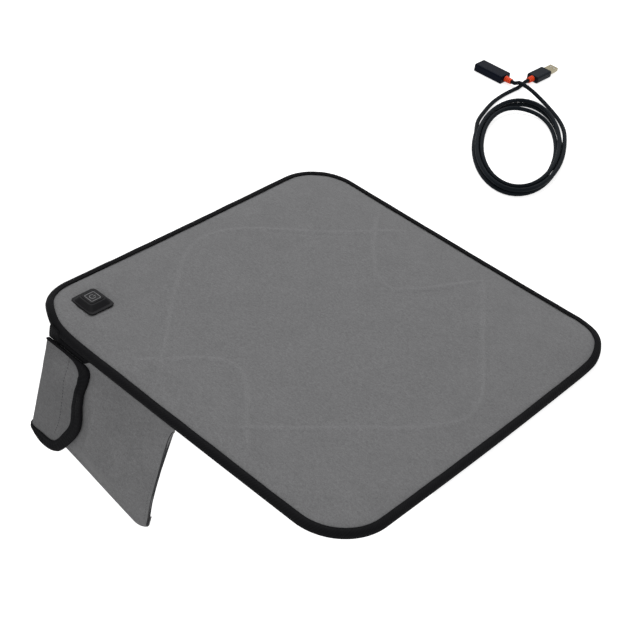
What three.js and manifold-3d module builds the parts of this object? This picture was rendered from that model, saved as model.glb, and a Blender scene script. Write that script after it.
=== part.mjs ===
// Heated seat cushion with a push button, a hanging side-opening pocket and a coiled extension lead.
// Millimetres, +Z up. The origin is the centre of the cushion's flat underside, +X to the right.
// The pocket hangs from the -Y edge, and the button is near the corner at -X, -Y.
// The extension lead lies on the same surface, behind the +Y edge.
import * as THREE from 'three';
import { mergeVertices } from 'three/addons/utils/BufferGeometryUtils.js';
import Module from 'manifold-3d';

const wasm = await Module();
wasm.setup();

// Clearances and cutters
const FIT_GAP = 0.3;
const CUT_OVERRUN = 2;

// Outline of the cushion
const CUSHION_SIDE = 400;
const CORNER_RADIUS = 53;
const INNER_ROUND_SHARE = 0.5;
const INNER_ROUND_RUN = 60;
const RIGHT_DRAW_IN = 0.5;
const OTHER_DRAW_IN = 1;
const CORNER_STEPS = 5;
const SIDE_STEPS = 7;

// Edge binding, a tape folded round the edge of all layers
const BINDING_UNDERSIDE = 1.5;
const BINDING_HEIGHT = 7;
const BINDING_LAP = 6;
const BINDING_THICKNESS = 1;

// Layers, from the seat upward
const LINING_THICKNESS = 1;
const WADDING_THICKNESS = 2.6;
const CARRIER_THICKNESS = 0.5;
const COVER_THICKNESS = 1.2;
const MARGIN_THICKNESS = 1;
const UNDERSIDE_INSET = 16;
const UNDERSIDE_SLOPE = 8;
const WADDING_SHOULDER = 3;
const EDGE_ROLL_RISE = 3.3;
const EDGE_ROLL_RUN = 4.5;
const CROWN_RISE = 1.1;

// Heating wire and the raised line that it presses into the cover
const WIRE_DIAMETER = 1.6;
const WIRE_CROSSING_GAP = 0.8;
const WIRE_STEPS = 170;
const WIRE_SIDES = 6;
const RIDGE_WIDTH = 8;
const RIDGE_RISE = 0.8;
const RIDGE_ROOT = 0.5;
const RIDGE_STEPS = 22;
const RIDGE_END_SHARE = 0.08;

// Push-button control
const CONTROL_SIDE_INSET = 44;
const CONTROL_FRONT_INSET = 49;
const FLANGE_LENGTH = 31;
const FLANGE_WIDTH = 28;
const FLANGE_RADIUS = 4;
const FLANGE_THICKNESS = 1.4;
const DOME_FOOT = 25;
const DOME_TOP = 19;
const DOME_RISE = 4.8;
const DOME_RADIUS = 3.5;
const NECK_SIDE = 22;
const NECK_RADIUS = 3;
const HOUSING_WALL = 1.4;
const BUTTON_SIDE = 15.4;
const BUTTON_RADIUS = 2.4;
const BUTTON_PROUD = 0.6;
const BUTTON_CAP_THICKNESS = 2.2;
const BUTTON_TRAVEL = 0.8;
const BUTTON_LIP = 1.1;
const BUTTON_LIP_THICKNESS = 0.8;
const BUTTON_STEM_DIAMETER = 4;
const WINDOW_SIDE = 12.6;
const WINDOW_THICKNESS = 1;
const BOARD_THICKNESS = 1;
const BACK_PLATE_SIDE = 30;
const BACK_PLATE_THICKNESS = 1;
const SWITCH_SIDE = 6;
const SWITCH_HEIGHT = 2.2;
const PLUNGER_DIAMETER = 3;
const PLUNGER_BORE_DEPTH = 1.6;
const LED_LENGTH = 3;
const LED_WIDTH = 1.6;
const LED_HEIGHT = 0.9;
const LED_OFFSET = 4.8;
const LIGHT_HOLE_DIAMETER = 3;
const CHIP_LENGTH = 5;
const CHIP_WIDTH = 4;
const CHIP_HEIGHT = 1;
const SCREW_DIAMETER = 1.6;
const SCREW_HEAD_DIAMETER = 2.8;
const SCREW_HEAD_HEIGHT = 0.7;
const SCREW_SPACING = 23.8;
const SCREW_BITE = 0.8;
const LEAD_STRAIGHT = 6.4;

// Parts in line with the heating wire
const LEAD_DIAMETER = 1.6;
const CUTOUT_LENGTH = 14;
const CUTOUT_WIDTH = 6;
const CUTOUT_HEIGHT = 2.8;
const SPLICE_LENGTH = 8;
const SPLICE_DIAMETER = 2.6;
const SENSOR_LENGTH = 5;
const SENSOR_DIAMETER = 2.4;
const CUTOUT_OFFSET = [-9, 36.5];
const SPLICE_OFFSET = [6, 29.5];
const SENSOR_OFFSET = [24, 24];

// Supply lead inside the pad and its gland over the pocket
const SUPPLY_LANE = 24;
const GLAND_SETBACK = 40.8;
const GLAND_INSET = 4.2;
const GLAND_DIAMETER = 4.4;
const GLAND_BORE = 2.2;

// Pocket, in its own frame: X along the hinge, -Z down the pocket, -Y outward
const HINGE_DROP = 2.7;
const POCKET_LEAN = THREE.MathUtils.degToRad(14);
const POCKET_SIDE_INSET = 59.2;
const POCKET_LENGTH = 146;
const POCKET_DROP_LEFT = 84;
const POCKET_DROP_RIGHT = 106;
const POCKET_CORNER_RISE = 7;
const POCKET_CORNER_SHARE = 0.1;
const POCKET_HEM_DROP = 1;
const POCKET_CLOTH = 1;
const POCKET_BACK_OFFSET = 0.2;
const POCKET_INTERIOR = 8;
const POCKET_FULL_SHARE = 0.58;
const POCKET_CLOSED_SHARE = 0.97;
const POCKET_END_SHARE = 0.24;
const POCKET_FOLD_DEPTH = 1.2;
const POCKET_FOLD_SHARES = [0.68, 0.8];
const POCKET_FOLD_WIDTH_SHARE = 0.035;
const POCKET_COLUMNS = 24;
const POCKET_ROW_SHARES = [0, 0.06, 0.13, 0.2, 0.3, 0.5, 0.7, 0.8, 0.87, 0.94, 1];
const SEAM_TAPE_LAP = 2.7;
const SEAM_TAPE_WALL = 0.8;
const TAPE_THICKNESS = 0.9;
const TAPE_REACH = 6;
const TAPE_WALL = 1.2;

// Closing flap
const STRIP_GAP = 0.2;
const STRIP_THICKNESS = 0.9;
const STRIP_WIDTH = 18;
const STRIP_LENGTH = 38;
const STRIP_SETBACK = 16;
const STRIP_TOP = 24;
const FLAP_CLOTH = 1.2;
const FLAP_STANDOFF = 2.6;
const FLAP_FOLD_RADIUS = 4;
const FLAP_REACH = 56;
const FLAP_NARROWING = 2;
const FLAP_TOP = 2.6;
const FLAP_BOTTOM = 91;
const FLAP_TOP_RADIUS = 18;
const FLAP_BOTTOM_RADIUS = 24;
const FLAP_LEFT_RISE = 5;
const FLAP_BINDING_WIDTH = 9;
const FLAP_BINDING_THICKNESS = 1;
const FLAP_BINDING_END_SHARE = 0.4;
const FLAP_BINDING_TAPER = 30;
const FLAP_ARC_STEPS = 6;

// Extension lead
const CORD_DIAMETER = 5;
const COIL_CENTRE_X = -83.8;
const COIL_CENTRE_Y = 420.5;
const COIL_TURN = THREE.MathUtils.degToRad(120.5);
const COIL_HALF_LENGTH = 107.6;
const COIL_HALF_WIDTH = 51.6;
const COIL_LENGTH_PITCH = 7.6;
const COIL_WIDTH_PITCH = 5.7;
const COIL_SLACK = 10;
const COIL_SLACK_TURNS = 0.15;
const COIL_TURNS = 3.5;
const COIL_LAYER_GAP = 0.5;
const LOOP_STEPS = 24;
const COIL_SIDES = 6;
const TAIL_SIDES = 8;
const RELIEF_LENGTH = 9;
const RELIEF_ROOT_DIAMETER = 8;
const RELIEF_TIP_DIAMETER = 7;
const RELIEF_GROOVE = 0.7;
const RELIEF_RIBS = 3;

// Socket and plug on the extension lead
const SOCKET_LENGTH = 42;
const SOCKET_WIDTH = 20;
const SOCKET_HEIGHT = 10.5;
const SOCKET_RADIUS = 2.2;
const SOCKET_MOUTH_DEPTH = 14;
const SOCKET_SHELL_WIDTH = 13.4;
const SOCKET_SHELL_HEIGHT = 6;
const SOCKET_TONGUE_WIDTH = 11;
const SOCKET_TONGUE_THICKNESS = 1.7;
const SOCKET_TONGUE_LENGTH = 9;
const SOCKET_TONGUE_OFFSET = 0.9;
const TONGUE_BASE = 2.5;
const SHELL_WALL = 0.4;
const PLUG_BODY_LENGTH = 30;
const PLUG_BODY_WIDTH = 17;
const PLUG_BODY_HEIGHT = 9;
const PLUG_BODY_RADIUS = 2.4;
const PLUG_SHELL_LENGTH = 18;
const PLUG_SHELL_WIDTH = 12;
const PLUG_SHELL_HEIGHT = 4.5;
const PLUG_TONGUE_LENGTH = 16;
const PLUG_TONGUE_THICKNESS = 1.9;
const PLUG_TONGUE_OFFSET = 0.6;
const PLUG_WINDOW = 2.4;
const PLUG_WINDOW_SPACING = 5;
const PLUG_WINDOW_SETBACK = 6;
const SOCKET_EXIT_X = -180.5;
const SOCKET_EXIT_Y = 536.5;
const PLUG_EXIT_X = -170;
const PLUG_EXIT_Y = 558;

// Sizes worked out from the values above
const HALF_SIDE = CUSHION_SIDE / 2;
const FRONT_EDGE = -(HALF_SIDE - OTHER_DRAW_IN);
const SLOT_BOTTOM = BINDING_UNDERSIDE + BINDING_THICKNESS;
const SLOT_TOP = BINDING_UNDERSIDE + BINDING_HEIGHT - BINDING_THICKNESS;
const SLOT_INSET = BINDING_THICKNESS + FIT_GAP;
const MARGIN_INSET = SLOT_INSET + FIT_GAP;
const LINING_MARGIN_TOP = SLOT_BOTTOM + FIT_GAP + LINING_THICKNESS;
const WADDING_BOTTOM = LINING_THICKNESS + FIT_GAP;
const WADDING_TOP = WADDING_BOTTOM + WADDING_THICKNESS;
const CARRIER_BOTTOM = WADDING_TOP + FIT_GAP;
const CARRIER_TOP = CARRIER_BOTTOM + CARRIER_THICKNESS;
const WIRE_Z = CARRIER_TOP + FIT_GAP + WIRE_DIAMETER / 2;
const WIRE_CROSSING_RISE = WIRE_DIAMETER + WIRE_CROSSING_GAP;
const COVER_MARGIN_TOP = SLOT_TOP - FIT_GAP;
const COVER_MARGIN_BOTTOM = COVER_MARGIN_TOP - MARGIN_THICKNESS;
const HINGE_Y = FRONT_EDGE - TAPE_WALL / 2;
const CONTROL_X = CONTROL_SIDE_INSET - HALF_SIDE;
const CONTROL_Y = CONTROL_FRONT_INSET - HALF_SIDE;
const POCKET_LEFT = POCKET_SIDE_INSET - HALF_SIDE;
const POCKET_RIGHT = POCKET_LEFT + POCKET_LENGTH;
const GLAND_X = POCKET_LEFT + GLAND_SETBACK;

// Colours and surfaces
const finish = (color, roughness, metalness = 0) =>
  new THREE.MeshStandardMaterial({ color, roughness, metalness });
const felt = finish(0x767676, 0.95);
const liningCloth = finish(0x3a3a3c, 0.9);
const paleWadding = finish(0xe6e4df, 1);
const blackTape = finish(0x17181a, 0.85);
const blackRubber = finish(0x1c1d1f, 0.6);
const tintedWindow = finish(0x2b2d30, 0.3);
const greenBoard = finish(0x1d5b34, 0.5);
const blackResin = finish(0x141416, 0.45);
const clearResin = finish(0xe8e8e2, 0.3);
const steel = finish(0xb9b4a8, 0.3, 1);
const redSilicone = finish(0x9c2f24, 0.55);
const whiteResin = finish(0xe9e9e6, 0.5);
const navyPlastic = finish(0x0b1017, 0.3);
const slatePlastic = finish(0x20262d, 0.4);
const orangeRubber = finish(0xe84a1c, 0.55);
const cordJacket = finish(0x1d242b, 0.5);

const part = new THREE.Group();

function addMesh(parent, name, geometry, material) {
  const mesh = new THREE.Mesh(geometry, material);
  mesh.name = name;
  parent.add(mesh);
  return mesh;
}

// A closed solid from its corners and triangles, with every face turned outward
function solidFrom(corners, triangles) {
  let volume = 0;
  const across = new THREE.Vector3();
  for (const [a, b, c] of triangles) {
    volume += corners[a].dot(across.crossVectors(corners[b], corners[c]));
  }
  const outward = volume > 0 ? triangles : triangles.map(([a, b, c]) => [a, c, b]);
  const geometry = new THREE.BufferGeometry();
  const position = corners.flatMap((corner) => corner.toArray());
  geometry.setAttribute('position', new THREE.Float32BufferAttribute(position, 3));
  geometry.setIndex(outward.flat());
  return geometry;
}

// A solid through a row of rings. A ring of one corner is a tip, and caps close the ends
function loft(rings, { loop = false, caps = [] } = {}) {
  const corners = [];
  const triangles = [];
  const starts = rings.map((ring) => {
    corners.push(...ring);
    return corners.length - ring.length;
  });
  const lastPair = loop ? rings.length : rings.length - 1;
  for (let k = 0; k < lastPair; k++) {
    const next = (k + 1) % rings.length;
    const [here, there] = [starts[k], starts[next]];
    const [count, nextCount] = [rings[k].length, rings[next].length];
    for (let i = 0; i < Math.max(count, nextCount); i++) {
      const j = (i + 1) % Math.max(count, nextCount);
      if (count > 1) triangles.push([here + i, here + j, there + (nextCount > 1 ? i : 0)]);
      if (nextCount > 1) triangles.push([here + (count > 1 ? j : 0), there + j, there + i]);
    }
  }
  const end = starts[starts.length - 1];
  for (const [a, b, c] of caps) {
    triangles.push([starts[0] + c, starts[0] + b, starts[0] + a]);
    triangles.push([end + a, end + b, end + c]);
  }
  return solidFrom(corners, triangles);
}

// Triangles that fill a flat outline, turned the same way as the outline
function capsOf(section) {
  const turn = (loop) => Math.sign(THREE.ShapeUtils.area(loop));
  return THREE.ShapeUtils.triangulateShape(section, []).map((face) =>
    (turn(face.map((k) => section[k])) === turn(section) ? face : face.toReversed()));
}

function toSolid(geometry) {
  const bare = new THREE.BufferGeometry();
  bare.setAttribute('position', geometry.getAttribute('position').clone());
  if (geometry.index) bare.setIndex(geometry.index.clone());
  const merged = mergeVertices(bare);
  return new wasm.Manifold(new wasm.Mesh({
    numProp: 3,
    vertProperties: new Float32Array(merged.getAttribute('position').array),
    triVerts: new Uint32Array(merged.index.array),
  }));
}

function toGeometry(manifold) {
  const mesh = manifold.getMesh();
  const geometry = new THREE.BufferGeometry();
  geometry.setAttribute('position', new THREE.BufferAttribute(new Float32Array(mesh.vertProperties), 3));
  geometry.setIndex(new THREE.BufferAttribute(new Uint32Array(mesh.triVerts), 1));
  return geometry;
}

const cut = (body, ...tools) =>
  toGeometry(tools.reduce((rest, tool) => rest.subtract(toSolid(tool)), toSolid(body)));
const join = (body, ...others) =>
  toGeometry(others.reduce((sum, other) => sum.add(toSolid(other)), toSolid(body)));

// Simple pieces, placed where they are used
function block(width, depth, height, x, y, z) {
  return new THREE.BoxGeometry(width, depth, height).translate(x, y, z + height / 2);
}

function rod(diameter, length, x, y, z, sides = 12) {
  return new THREE.CylinderGeometry(diameter / 2, diameter / 2, length, sides)
    .rotateX(Math.PI / 2)
    .translate(x, y, z + length / 2);
}

// A stack of rounded rectangles, each [width, depth, corner radius, height], centred on x, y
function roundedStack(levels, x = 0, y = 0, steps = 4) {
  const rings = levels.map(([width, depth, radius, z]) => {
    const ring = [];
    for (let corner = 0; corner < 4; corner++) {
      const signX = corner === 0 || corner === 3 ? 1 : -1;
      const signY = corner < 2 ? 1 : -1;
      for (let step = 0; step <= steps; step++) {
        const angle = (corner + step / steps) * Math.PI / 2;
        ring.push(new THREE.Vector3(
          x + signX * (width / 2 - radius) + radius * Math.cos(angle),
          y + signY * (depth / 2 - radius) + radius * Math.sin(angle),
          z,
        ));
      }
    }
    return ring;
  });
  const flat = rings[0].map((corner) => new THREE.Vector2(corner.x, corner.y));
  return loft(rings, { caps: capsOf(flat) });
}

// The edges are pulled in a little between the corners, least on the +X side
function drawnIn(x, y, z) {
  const sag = (along) => (1 - Math.min(1, (along / HALF_SIDE) ** 2)) ** 2;
  const pullX = (x > 0 ? RIGHT_DRAW_IN : OTHER_DRAW_IN) * (x / HALF_SIDE) * sag(y);
  const pullY = OTHER_DRAW_IN * (y / HALF_SIDE) * sag(x);
  return new THREE.Vector3(x - pullX, y - pullY, z);
}

// The corner radius of the outline at a distance in from the edge
function roundAt(inset) {
  const half = HALF_SIDE - inset;
  const blend = THREE.MathUtils.smoothstep(inset, BINDING_LAP, INNER_ROUND_RUN);
  return THREE.MathUtils.lerp(CORNER_RADIUS - inset, INNER_ROUND_SHARE * half, blend);
}

// A ring round the cushion, at a distance in from its edge
function outlineRing(inset, z) {
  const half = HALF_SIDE - inset;
  if (half <= 0) return [new THREE.Vector3(0, 0, z)];
  const radius = roundAt(inset);
  const straight = half - radius;
  const ring = [];
  for (let side = 0; side < 4; side++) {
    const turn = side * Math.PI / 2;
    const place = (x, y) => ring.push(drawnIn(
      x * Math.cos(turn) - y * Math.sin(turn),
      x * Math.sin(turn) + y * Math.cos(turn),
      z,
    ));
    for (let step = 1; step < SIDE_STEPS; step++) {
      place(half, straight * (2 * step / SIDE_STEPS - 1));
    }
    for (let step = 0; step <= CORNER_STEPS; step++) {
      const angle = step / CORNER_STEPS * Math.PI / 2;
      place(straight + radius * Math.cos(angle), straight + radius * Math.sin(angle));
    }
  }
  return ring;
}

// A layer of the cushion from a profile of [distance in from the edge, height]
const layer = (profile, loop = false) =>
  loft(profile.map(([inset, z]) => outlineRing(inset, z)), { loop });

// Height of the cover's top face at a distance in from the edge
function coverTop(inset) {
  const roll = 1 - Math.exp(-(inset - BINDING_LAP) / EDGE_ROLL_RUN);
  const flatness = 1 - (inset - BINDING_LAP) / (HALF_SIDE - BINDING_LAP);
  return COVER_MARGIN_TOP + EDGE_ROLL_RISE * roll + CROWN_RISE * (1 - flatness ** 2);
}

// How far in from the edge a point of the cushion lies
function insetOf(x, y) {
  const depth = (inset) => {
    const radius = roundAt(inset);
    const [dx, dy] = [x, y].map((value) => Math.abs(value) - (HALF_SIDE - inset - radius));
    return Math.hypot(Math.max(dx, 0), Math.max(dy, 0)) + Math.min(Math.max(dx, dy), 0) - radius;
  };
  let [low, high] = [0, HALF_SIDE];
  for (let pass = 0; pass < 30; pass++) {
    const middle = (low + high) / 2;
    if (depth(middle) < 0) low = middle;
    else high = middle;
  }
  return low;
}

// A tube or strip along points. Its section at a share of the way is [[sideways, upward], ...]
function sweep(points, sectionAt) {
  const rings = points.map((point, k) => {
    const section = sectionAt(k / (points.length - 1));
    const before = points[Math.max(0, k - 1)];
    const after = points[Math.min(points.length - 1, k + 1)];
    const along = after.clone().sub(before).normalize();
    const sideways = along.clone().cross(new THREE.Vector3(0, 0, 1)).normalize();
    const upward = sideways.clone().cross(along);
    return section.map(([a, b]) => point.clone().addScaledVector(sideways, a).addScaledVector(upward, b));
  });
  return loft(rings, { caps: capsOf(sectionAt(0).map(([a, b]) => new THREE.Vector2(a, b))) });
}

function tube(points, diameter, sides) {
  const section = Array.from({ length: sides }, (_, k) => {
    const angle = (k + 0.5) / sides * 2 * Math.PI;
    return [diameter / 2 * Math.cos(angle), diameter / 2 * Math.sin(angle)];
  });
  return sweep(points, () => section);
}

// Points at even steps along a smooth curve through the given ones
function smoothRoute(points, steps) {
  const curve = new THREE.CatmullRomCurve3(points, false, 'centripetal');
  return curve.getSpacedPoints(steps);
}

// Cushion layers
// Places on the heating wire, as shares of half the cushion's side
const LEFT_ARM_SHARES = [
  [-0.17, -0.89], [-0.255, -0.805], [-0.385, -0.66], [-0.53, -0.505], [-0.645, -0.36],
  [-0.77, -0.2], [-0.84, -0.055], [-0.83, 0.09], [-0.735, 0.245], [-0.625, 0.37],
  [-0.51, 0.485], [-0.42, 0.6], [-0.295, 0.775], [-0.22, 0.88],
];
const RIGHT_ARM_SHARES = [
  [0.16, -0.89], [0.26, -0.8], [0.43, -0.61], [0.6, -0.405], [0.755, -0.21],
  [0.83, -0.04], [0.8, 0.12], [0.7, 0.27], [0.6, 0.405], [0.495, 0.55],
  [0.395, 0.68], [0.285, 0.825], [0.245, 0.88],
];
const FRONT_ARCH_SHARES = [
  [-0.375, -0.89], [-0.34, -0.85], [-0.272, -0.762, 1], [-0.17, -0.63], [-0.105, -0.575],
  [-0.035, -0.56], [0.06, -0.595], [0.175, -0.7], [0.287, -0.812, 1], [0.365, -0.89],
];
const BACK_ARCH_SHARES = [
  [-0.445, 0.88], [-0.4, 0.81], [-0.336, 0.722, 1], [-0.25, 0.61], [-0.155, 0.51],
  [-0.065, 0.435], [0.035, 0.42], [0.1, 0.495], [0.155, 0.585], [0.2, 0.675],
  [0.272, 0.81, 1], [0.315, 0.88],
];
const BACK_LEFT_LOOP_SHARES = [[-0.215, 0.915], [-0.26, 0.932], [-0.4, 0.932], [-0.45, 0.915]];
const BACK_RIGHT_LOOP_SHARES = [[0.323, 0.91], [0.305, 0.93], [0.255, 0.93], [0.237, 0.91]];
const FRONT_RIGHT_LOOP_SHARES = [[0.17, -0.9225], [0.22, -0.932], [0.305, -0.932], [0.355, -0.9225]];
const FRONT_LEFT_LOOP_SHARES = [[-0.365, -0.9225], [-0.315, -0.932], [-0.23, -0.932], [-0.18, -0.9225]];
const WIRE_START_SHARES = [[-0.82, -0.42], [-0.845, -0.28], [-0.85, -0.16]];
const WIRE_END_SHARES = [[-0.705, -0.315], [-0.745, -0.37], [-0.748, -0.46]];
const TIP_INDEX = 6;
const LOWER_ARM_COUNT = 5;

// A place on the pad. The third share lifts a run of wire over the one that it crosses
const placeOnPad = ([x, y, lift = 0]) =>
  drawnIn(x * HALF_SIDE, y * HALF_SIDE, WIRE_Z + lift * WIRE_CROSSING_RISE);
const besideControl = ([x, y]) => [CONTROL_X + x, CONTROL_Y + y];
const [CUTOUT_X, CUTOUT_Y] = besideControl(CUTOUT_OFFSET);
const [SPLICE_X, SPLICE_Y] = besideControl(SPLICE_OFFSET);
const [SENSOR_X, SENSOR_Y] = besideControl(SENSOR_OFFSET);

// The heating wire is one unbroken run from the thermal cut-out to the splice
function wireRoute() {
  const shares = [
    ...WIRE_START_SHARES,
    ...LEFT_ARM_SHARES.slice(TIP_INDEX),
    ...BACK_LEFT_LOOP_SHARES,
    ...BACK_ARCH_SHARES,
    ...BACK_RIGHT_LOOP_SHARES,
    ...RIGHT_ARM_SHARES.toReversed(),
    ...FRONT_RIGHT_LOOP_SHARES,
    ...FRONT_ARCH_SHARES.toReversed(),
    ...FRONT_LEFT_LOOP_SHARES,
    ...LEFT_ARM_SHARES.slice(0, LOWER_ARM_COUNT),
    ...WIRE_END_SHARES,
  ];
  const start = new THREE.Vector3(CUTOUT_X, CUTOUT_Y + CUTOUT_LENGTH / 2 + FIT_GAP, WIRE_Z);
  const end = new THREE.Vector3(SPLICE_X, SPLICE_Y + SPLICE_LENGTH / 2 + FIT_GAP, WIRE_Z);
  return smoothRoute([start, ...shares.map(placeOnPad), end], WIRE_STEPS)
    .map((point) => point.setZ(Math.max(point.z, WIRE_Z)));
}

// The least gap between parts of a wound tube that aren't next to each other along it
function leastGap(points, diameter) {
  const fine = points.flatMap((point, k) => (k === 0 ? [point]
    : [0.25, 0.5, 0.75, 1].map((share) => points[k - 1].clone().lerp(point, share))));
  const runs = [0];
  for (let k = 1; k < fine.length; k++) runs.push(runs[k - 1] + fine[k].distanceTo(fine[k - 1]));
  let least = Infinity;
  for (let i = 0; i < fine.length; i++) {
    for (let j = i + 1; j < fine.length; j++) {
      if (runs[j] - runs[i] > 4 * diameter) least = Math.min(least, fine[i].distanceTo(fine[j]));
    }
  }
  return least - diameter;
}

// A low raised strip on the cover over one run of the wire
function ridge(shares) {
  const flat = smoothRoute(shares.map(([x, y]) => new THREE.Vector3(x * HALF_SIDE, y * HALF_SIDE, 0)),
    RIDGE_STEPS);
  const points = flat.map(({ x, y }) => drawnIn(x, y, coverTop(insetOf(x, y))));
  return sweep(points, (share) => {
    const taper = THREE.MathUtils.smoothstep(Math.min(share, 1 - share), -RIDGE_END_SHARE, RIDGE_END_SHARE);
    const rise = RIDGE_RISE * (2 * taper - 1);
    return [
      [-RIDGE_WIDTH / 2, -RIDGE_ROOT],
      [RIDGE_WIDTH / 2, -RIDGE_ROOT],
      [RIDGE_WIDTH / 4, 0.75 * rise],
      [0, rise],
      [-RIDGE_WIDTH / 4, 0.75 * rise],
    ];
  });
}

function topCover() {
  const crownInsets = [BINDING_LAP, BINDING_LAP + 0.3 * EDGE_ROLL_RUN, BINDING_LAP + EDGE_ROLL_RUN,
    BINDING_LAP + 2.5 * EDGE_ROLL_RUN, 0.18 * HALF_SIDE, 0.35 * HALF_SIDE, 0.6 * HALF_SIDE, HALF_SIDE];
  const innerInsets = [HALF_SIDE, 0.5 * HALF_SIDE, 0.18 * HALF_SIDE, BINDING_LAP + 2.5 * EDGE_ROLL_RUN,
    BINDING_LAP + EDGE_ROLL_RUN];
  const profile = [
    ...innerInsets.map((inset) => [inset, coverTop(inset) - COVER_THICKNESS]),
    [BINDING_LAP + 0.3 * EDGE_ROLL_RUN, COVER_MARGIN_BOTTOM],
    [MARGIN_INSET, COVER_MARGIN_BOTTOM],
    [MARGIN_INSET, COVER_MARGIN_TOP],
    ...crownInsets.map((inset) => [inset, coverTop(inset)]),
  ];
  const ridges = [LEFT_ARM_SHARES, RIGHT_ARM_SHARES, FRONT_ARCH_SHARES, BACK_ARCH_SHARES].map(ridge);
  const window = block(NECK_SIDE + 2 * FIT_GAP, NECK_SIDE + 2 * FIT_GAP, CUSHION_SIDE,
    CONTROL_X, CONTROL_Y, -HALF_SIDE);
  return cut(join(layer(profile), ...ridges), window, ...screwHoles(0, CUSHION_SIDE));
}

// Holes for the four screws that clamp the control through the cover
function screwHoles(z, length) {
  return SCREW_PLACES.map(([sideX, sideY]) => rod(SCREW_DIAMETER + 2 * FIT_GAP, length,
    CONTROL_X + sideX * SCREW_SPACING / 2, CONTROL_Y + sideY * SCREW_SPACING / 2, z, 8));
}

function wadding() {
  const shoulder = UNDERSIDE_SLOPE + FIT_GAP;
  const body = layer([
    [HALF_SIDE, WADDING_BOTTOM],
    [UNDERSIDE_INSET + 3 * FIT_GAP, WADDING_BOTTOM],
    [UNDERSIDE_SLOPE + 3 * FIT_GAP, LINING_MARGIN_TOP + FIT_GAP],
    [MARGIN_INSET, LINING_MARGIN_TOP + FIT_GAP],
    [MARGIN_INSET, COVER_MARGIN_BOTTOM - FIT_GAP],
    [shoulder, COVER_MARGIN_BOTTOM - FIT_GAP],
    [shoulder + WADDING_SHOULDER, WADDING_TOP],
    [HALF_SIDE, WADDING_TOP],
  ]);
  const notchDepth = shoulder + WADDING_SHOULDER + CUT_OVERRUN;
  const notch = block(GLAND_DIAMETER + 2 * FIT_GAP, notchDepth + CUT_OVERRUN, CUSHION_SIDE,
    GLAND_X, FRONT_EDGE + (notchDepth - CUT_OVERRUN) / 2, LINING_MARGIN_TOP);
  return cut(body, notch);
}

function bottomCover() {
  const rim = SLOT_BOTTOM + FIT_GAP;
  const body = layer([
    [HALF_SIDE, 0],
    [UNDERSIDE_INSET, 0],
    [UNDERSIDE_SLOPE, rim],
    [MARGIN_INSET, rim],
    [MARGIN_INSET, LINING_MARGIN_TOP],
    [UNDERSIDE_SLOPE + 2 * FIT_GAP, LINING_MARGIN_TOP],
    [UNDERSIDE_INSET + 2 * FIT_GAP, LINING_THICKNESS],
    [HALF_SIDE, LINING_THICKNESS],
  ]);
  return cut(body, rod(GLAND_DIAMETER + 2 * FIT_GAP, BINDING_HEIGHT, GLAND_X, FRONT_EDGE + GLAND_INSET, 0));
}

function edgeBinding() {
  const top = BINDING_UNDERSIDE + BINDING_HEIGHT;
  const middle = BINDING_UNDERSIDE + BINDING_HEIGHT / 2;
  const shoulder = 0.36 * BINDING_HEIGHT;
  const corner = 0.13 * BINDING_HEIGHT;
  const body = layer([
    [BINDING_LAP, top],
    [shoulder, top],
    [corner, top - corner],
    [0, middle],
    [corner, BINDING_UNDERSIDE + corner],
    [shoulder, BINDING_UNDERSIDE],
    [BINDING_LAP, BINDING_UNDERSIDE],
    [BINDING_LAP, SLOT_BOTTOM],
    [SLOT_INSET, SLOT_BOTTOM],
    [SLOT_INSET, SLOT_TOP],
    [BINDING_LAP, SLOT_TOP],
  ], true);
  const hole = rod(GLAND_DIAMETER + 2 * FIT_GAP, SLOT_BOTTOM + FIT_GAP, GLAND_X, FRONT_EDGE + GLAND_INSET, 0);
  return cut(body, hole);
}

// Push-button control, clamped through a window in the cover
const SCREW_HEAD_Z = CARRIER_TOP + FIT_GAP;
const BACK_PLATE_Z = SCREW_HEAD_Z + SCREW_HEAD_HEIGHT + FIT_GAP;
const NECK_Z = BACK_PLATE_Z + BACK_PLATE_THICKNESS + FIT_GAP;
const FLANGE_Z = coverTop(insetOf(CONTROL_X + FLANGE_LENGTH / 2, CONTROL_Y + FLANGE_WIDTH / 2)) + FIT_GAP;
const DOME_Z = FLANGE_Z + FLANGE_THICKNESS;
const DOME_TOP_Z = DOME_Z + DOME_RISE;
const LEAD_Z = NECK_Z + LEAD_DIAMETER / 2;
const NECK_BORE = NECK_SIDE - 2 * HOUSING_WALL;
const BOARD_SIDE = NECK_BORE - 2 * FIT_GAP;
const SWITCH_Z = NECK_Z + BOARD_THICKNESS + FIT_GAP;
const SWITCH_TOP_Z = SWITCH_Z + SWITCH_HEIGHT;
const BUTTON_TOP_Z = DOME_TOP_Z + BUTTON_PROUD;
const BUTTON_BORE = BUTTON_SIDE + 2 * FIT_GAP;
const LIP_SIDE = BUTTON_SIDE + 2 * BUTTON_LIP;
const LIP_TOP_Z = DOME_TOP_Z - HOUSING_WALL - FIT_GAP;
const SCREW_PLACES = [[-1, -1], [1, -1], [1, 1], [-1, 1]];

// Where leads pass under the neck, sideways from its centre
const SUPPLY_LEAD_X = CONTROL_X + 0.2 * NECK_SIDE;
const FIRST_LEAD_X = CONTROL_X - 0.27 * NECK_SIDE;
const SECOND_LEAD_X = CONTROL_X;
const SENSOR_LEAD_X = CONTROL_X + 0.27 * NECK_SIDE;

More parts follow.
